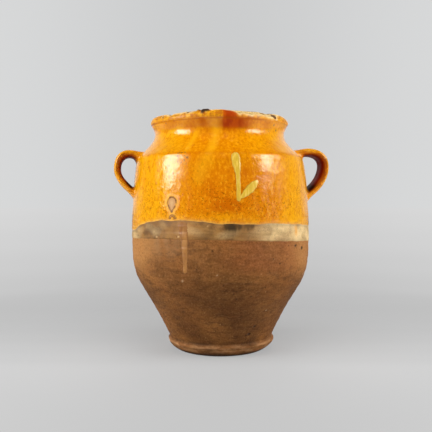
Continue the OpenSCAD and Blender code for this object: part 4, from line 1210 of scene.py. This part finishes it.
def make_world():
    """Pale behind the jar for the camera. For the jar's own light it is bright above and beside it and dim
    round the camera, as in a studio."""
    world = bpy.data.worlds.new("studio")
    bpy.context.scene.world = world
    world.use_nodes = True
    tree = world.node_tree
    tree.nodes.clear()
    link = tree.links.new
    place_node = tree.nodes.new("ShaderNodeTexCoord")
    parts = tree.nodes.new("ShaderNodeSeparateXYZ")
    link(place_node.outputs["Generated"], parts.inputs[0])

    def value(kind, a, b):
        node = tree.nodes.new("ShaderNodeMath")
        node.operation = kind
        for socket, item in zip(node.inputs, (a, b)):
            if isinstance(item, bpy.types.NodeSocket):
                link(item, socket)
            else:
                socket.default_value = item
        return node.outputs[0]

    turn = math.radians(JAR_TURN)
    ahead = value("ADD", value("MULTIPLY", parts.outputs[0], math.sin(turn)),
                  value("MULTIPLY", parts.outputs[1], math.cos(turn)))
    glow = tree.nodes.new("ShaderNodeMapRange")
    glow.interpolation_type = "SMOOTHSTEP"
    link(ahead, glow.inputs[0])
    for socket, item in zip(glow.inputs[1:], (0.36, 0.95, 0.05, 0.70)):
        socket.default_value = item
    upward = tree.nodes.new("ShaderNodeMapRange")
    link(parts.outputs[2], upward.inputs[0])
    for socket, item in zip(upward.inputs[1:], (0.45, 0.8, 1.0, 0.10)):
        socket.default_value = item
    strength = value("MULTIPLY", glow.outputs[0], upward.outputs[0])
    light = tree.nodes.new("ShaderNodeBackground")
    light.inputs[0].default_value = (1.0, 0.985, 0.97, 1)
    link(strength, light.inputs[1])
    side = value("SUBTRACT", value("MULTIPLY", parts.outputs[0], math.cos(turn)),
                 value("MULTIPLY", parts.outputs[1], math.sin(turn)))
    # Painted shade: the backdrop the camera sees is darker straight behind the jar than at the sides
    middle = rgb(*[WALL_LEVEL * 0.945] * 3)[0]
    edge = rgb(*[WALL_LEVEL] * 3)[0]
    seen = tree.nodes.new("ShaderNodeBackground")
    seen.inputs[0].default_value = (0.99, 1.0, 1.005, 1)
    pale = tree.nodes.new("ShaderNodeMapRange")
    pale.interpolation_type = "SMOOTHSTEP"
    link(value("ABSOLUTE", side, 0.0), pale.inputs[0])
    for socket, item in zip(pale.inputs[1:], (0.0, 0.36, middle, edge)):
        socket.default_value = item
    link(pale.outputs[0], seen.inputs[1])
    path = tree.nodes.new("ShaderNodeLightPath")
    both = tree.nodes.new("ShaderNodeMixShader")
    link(path.outputs["Is Camera Ray"], both.inputs[0])
    link(light.outputs[0], both.inputs[1])
    link(seen.outputs[0], both.inputs[2])
    out = tree.nodes.new("ShaderNodeOutputWorld")
    link(both.outputs[0], out.inputs[0])


make_clay()
make_slip()
make_glaze()
make_lining()
make_strap("handle_left")
make_strap("handle_right")
make_marks()
make_floor()
make_world()
make_camera()
make_lamp("left_light", -66, 19, 1.6, 1.3, 0.9, 25, False)
make_lamp("right_light", 75, 17, 1.6, 1.3, 0.9, 22, False)
make_lamp("top_light", 5, 62, 1.8, 1.4, 1.4, 14, False)
make_lamp("left_glint", -66, 23, 1.6, 0.72, 0.96, 23, True)
make_lamp("right_glint", 61, 25, 1.6, 0.60, 0.84, 13.0, True)
make_lamp("right_sheen", 70, 27, 1.6, 0.95, 0.60, 4.4, True)
make_lamp("back_light", 172, 35, 1.8, 1.4, 1.4, 12, False)

scene = bpy.context.scene
scene.view_settings.view_transform = "Standard"
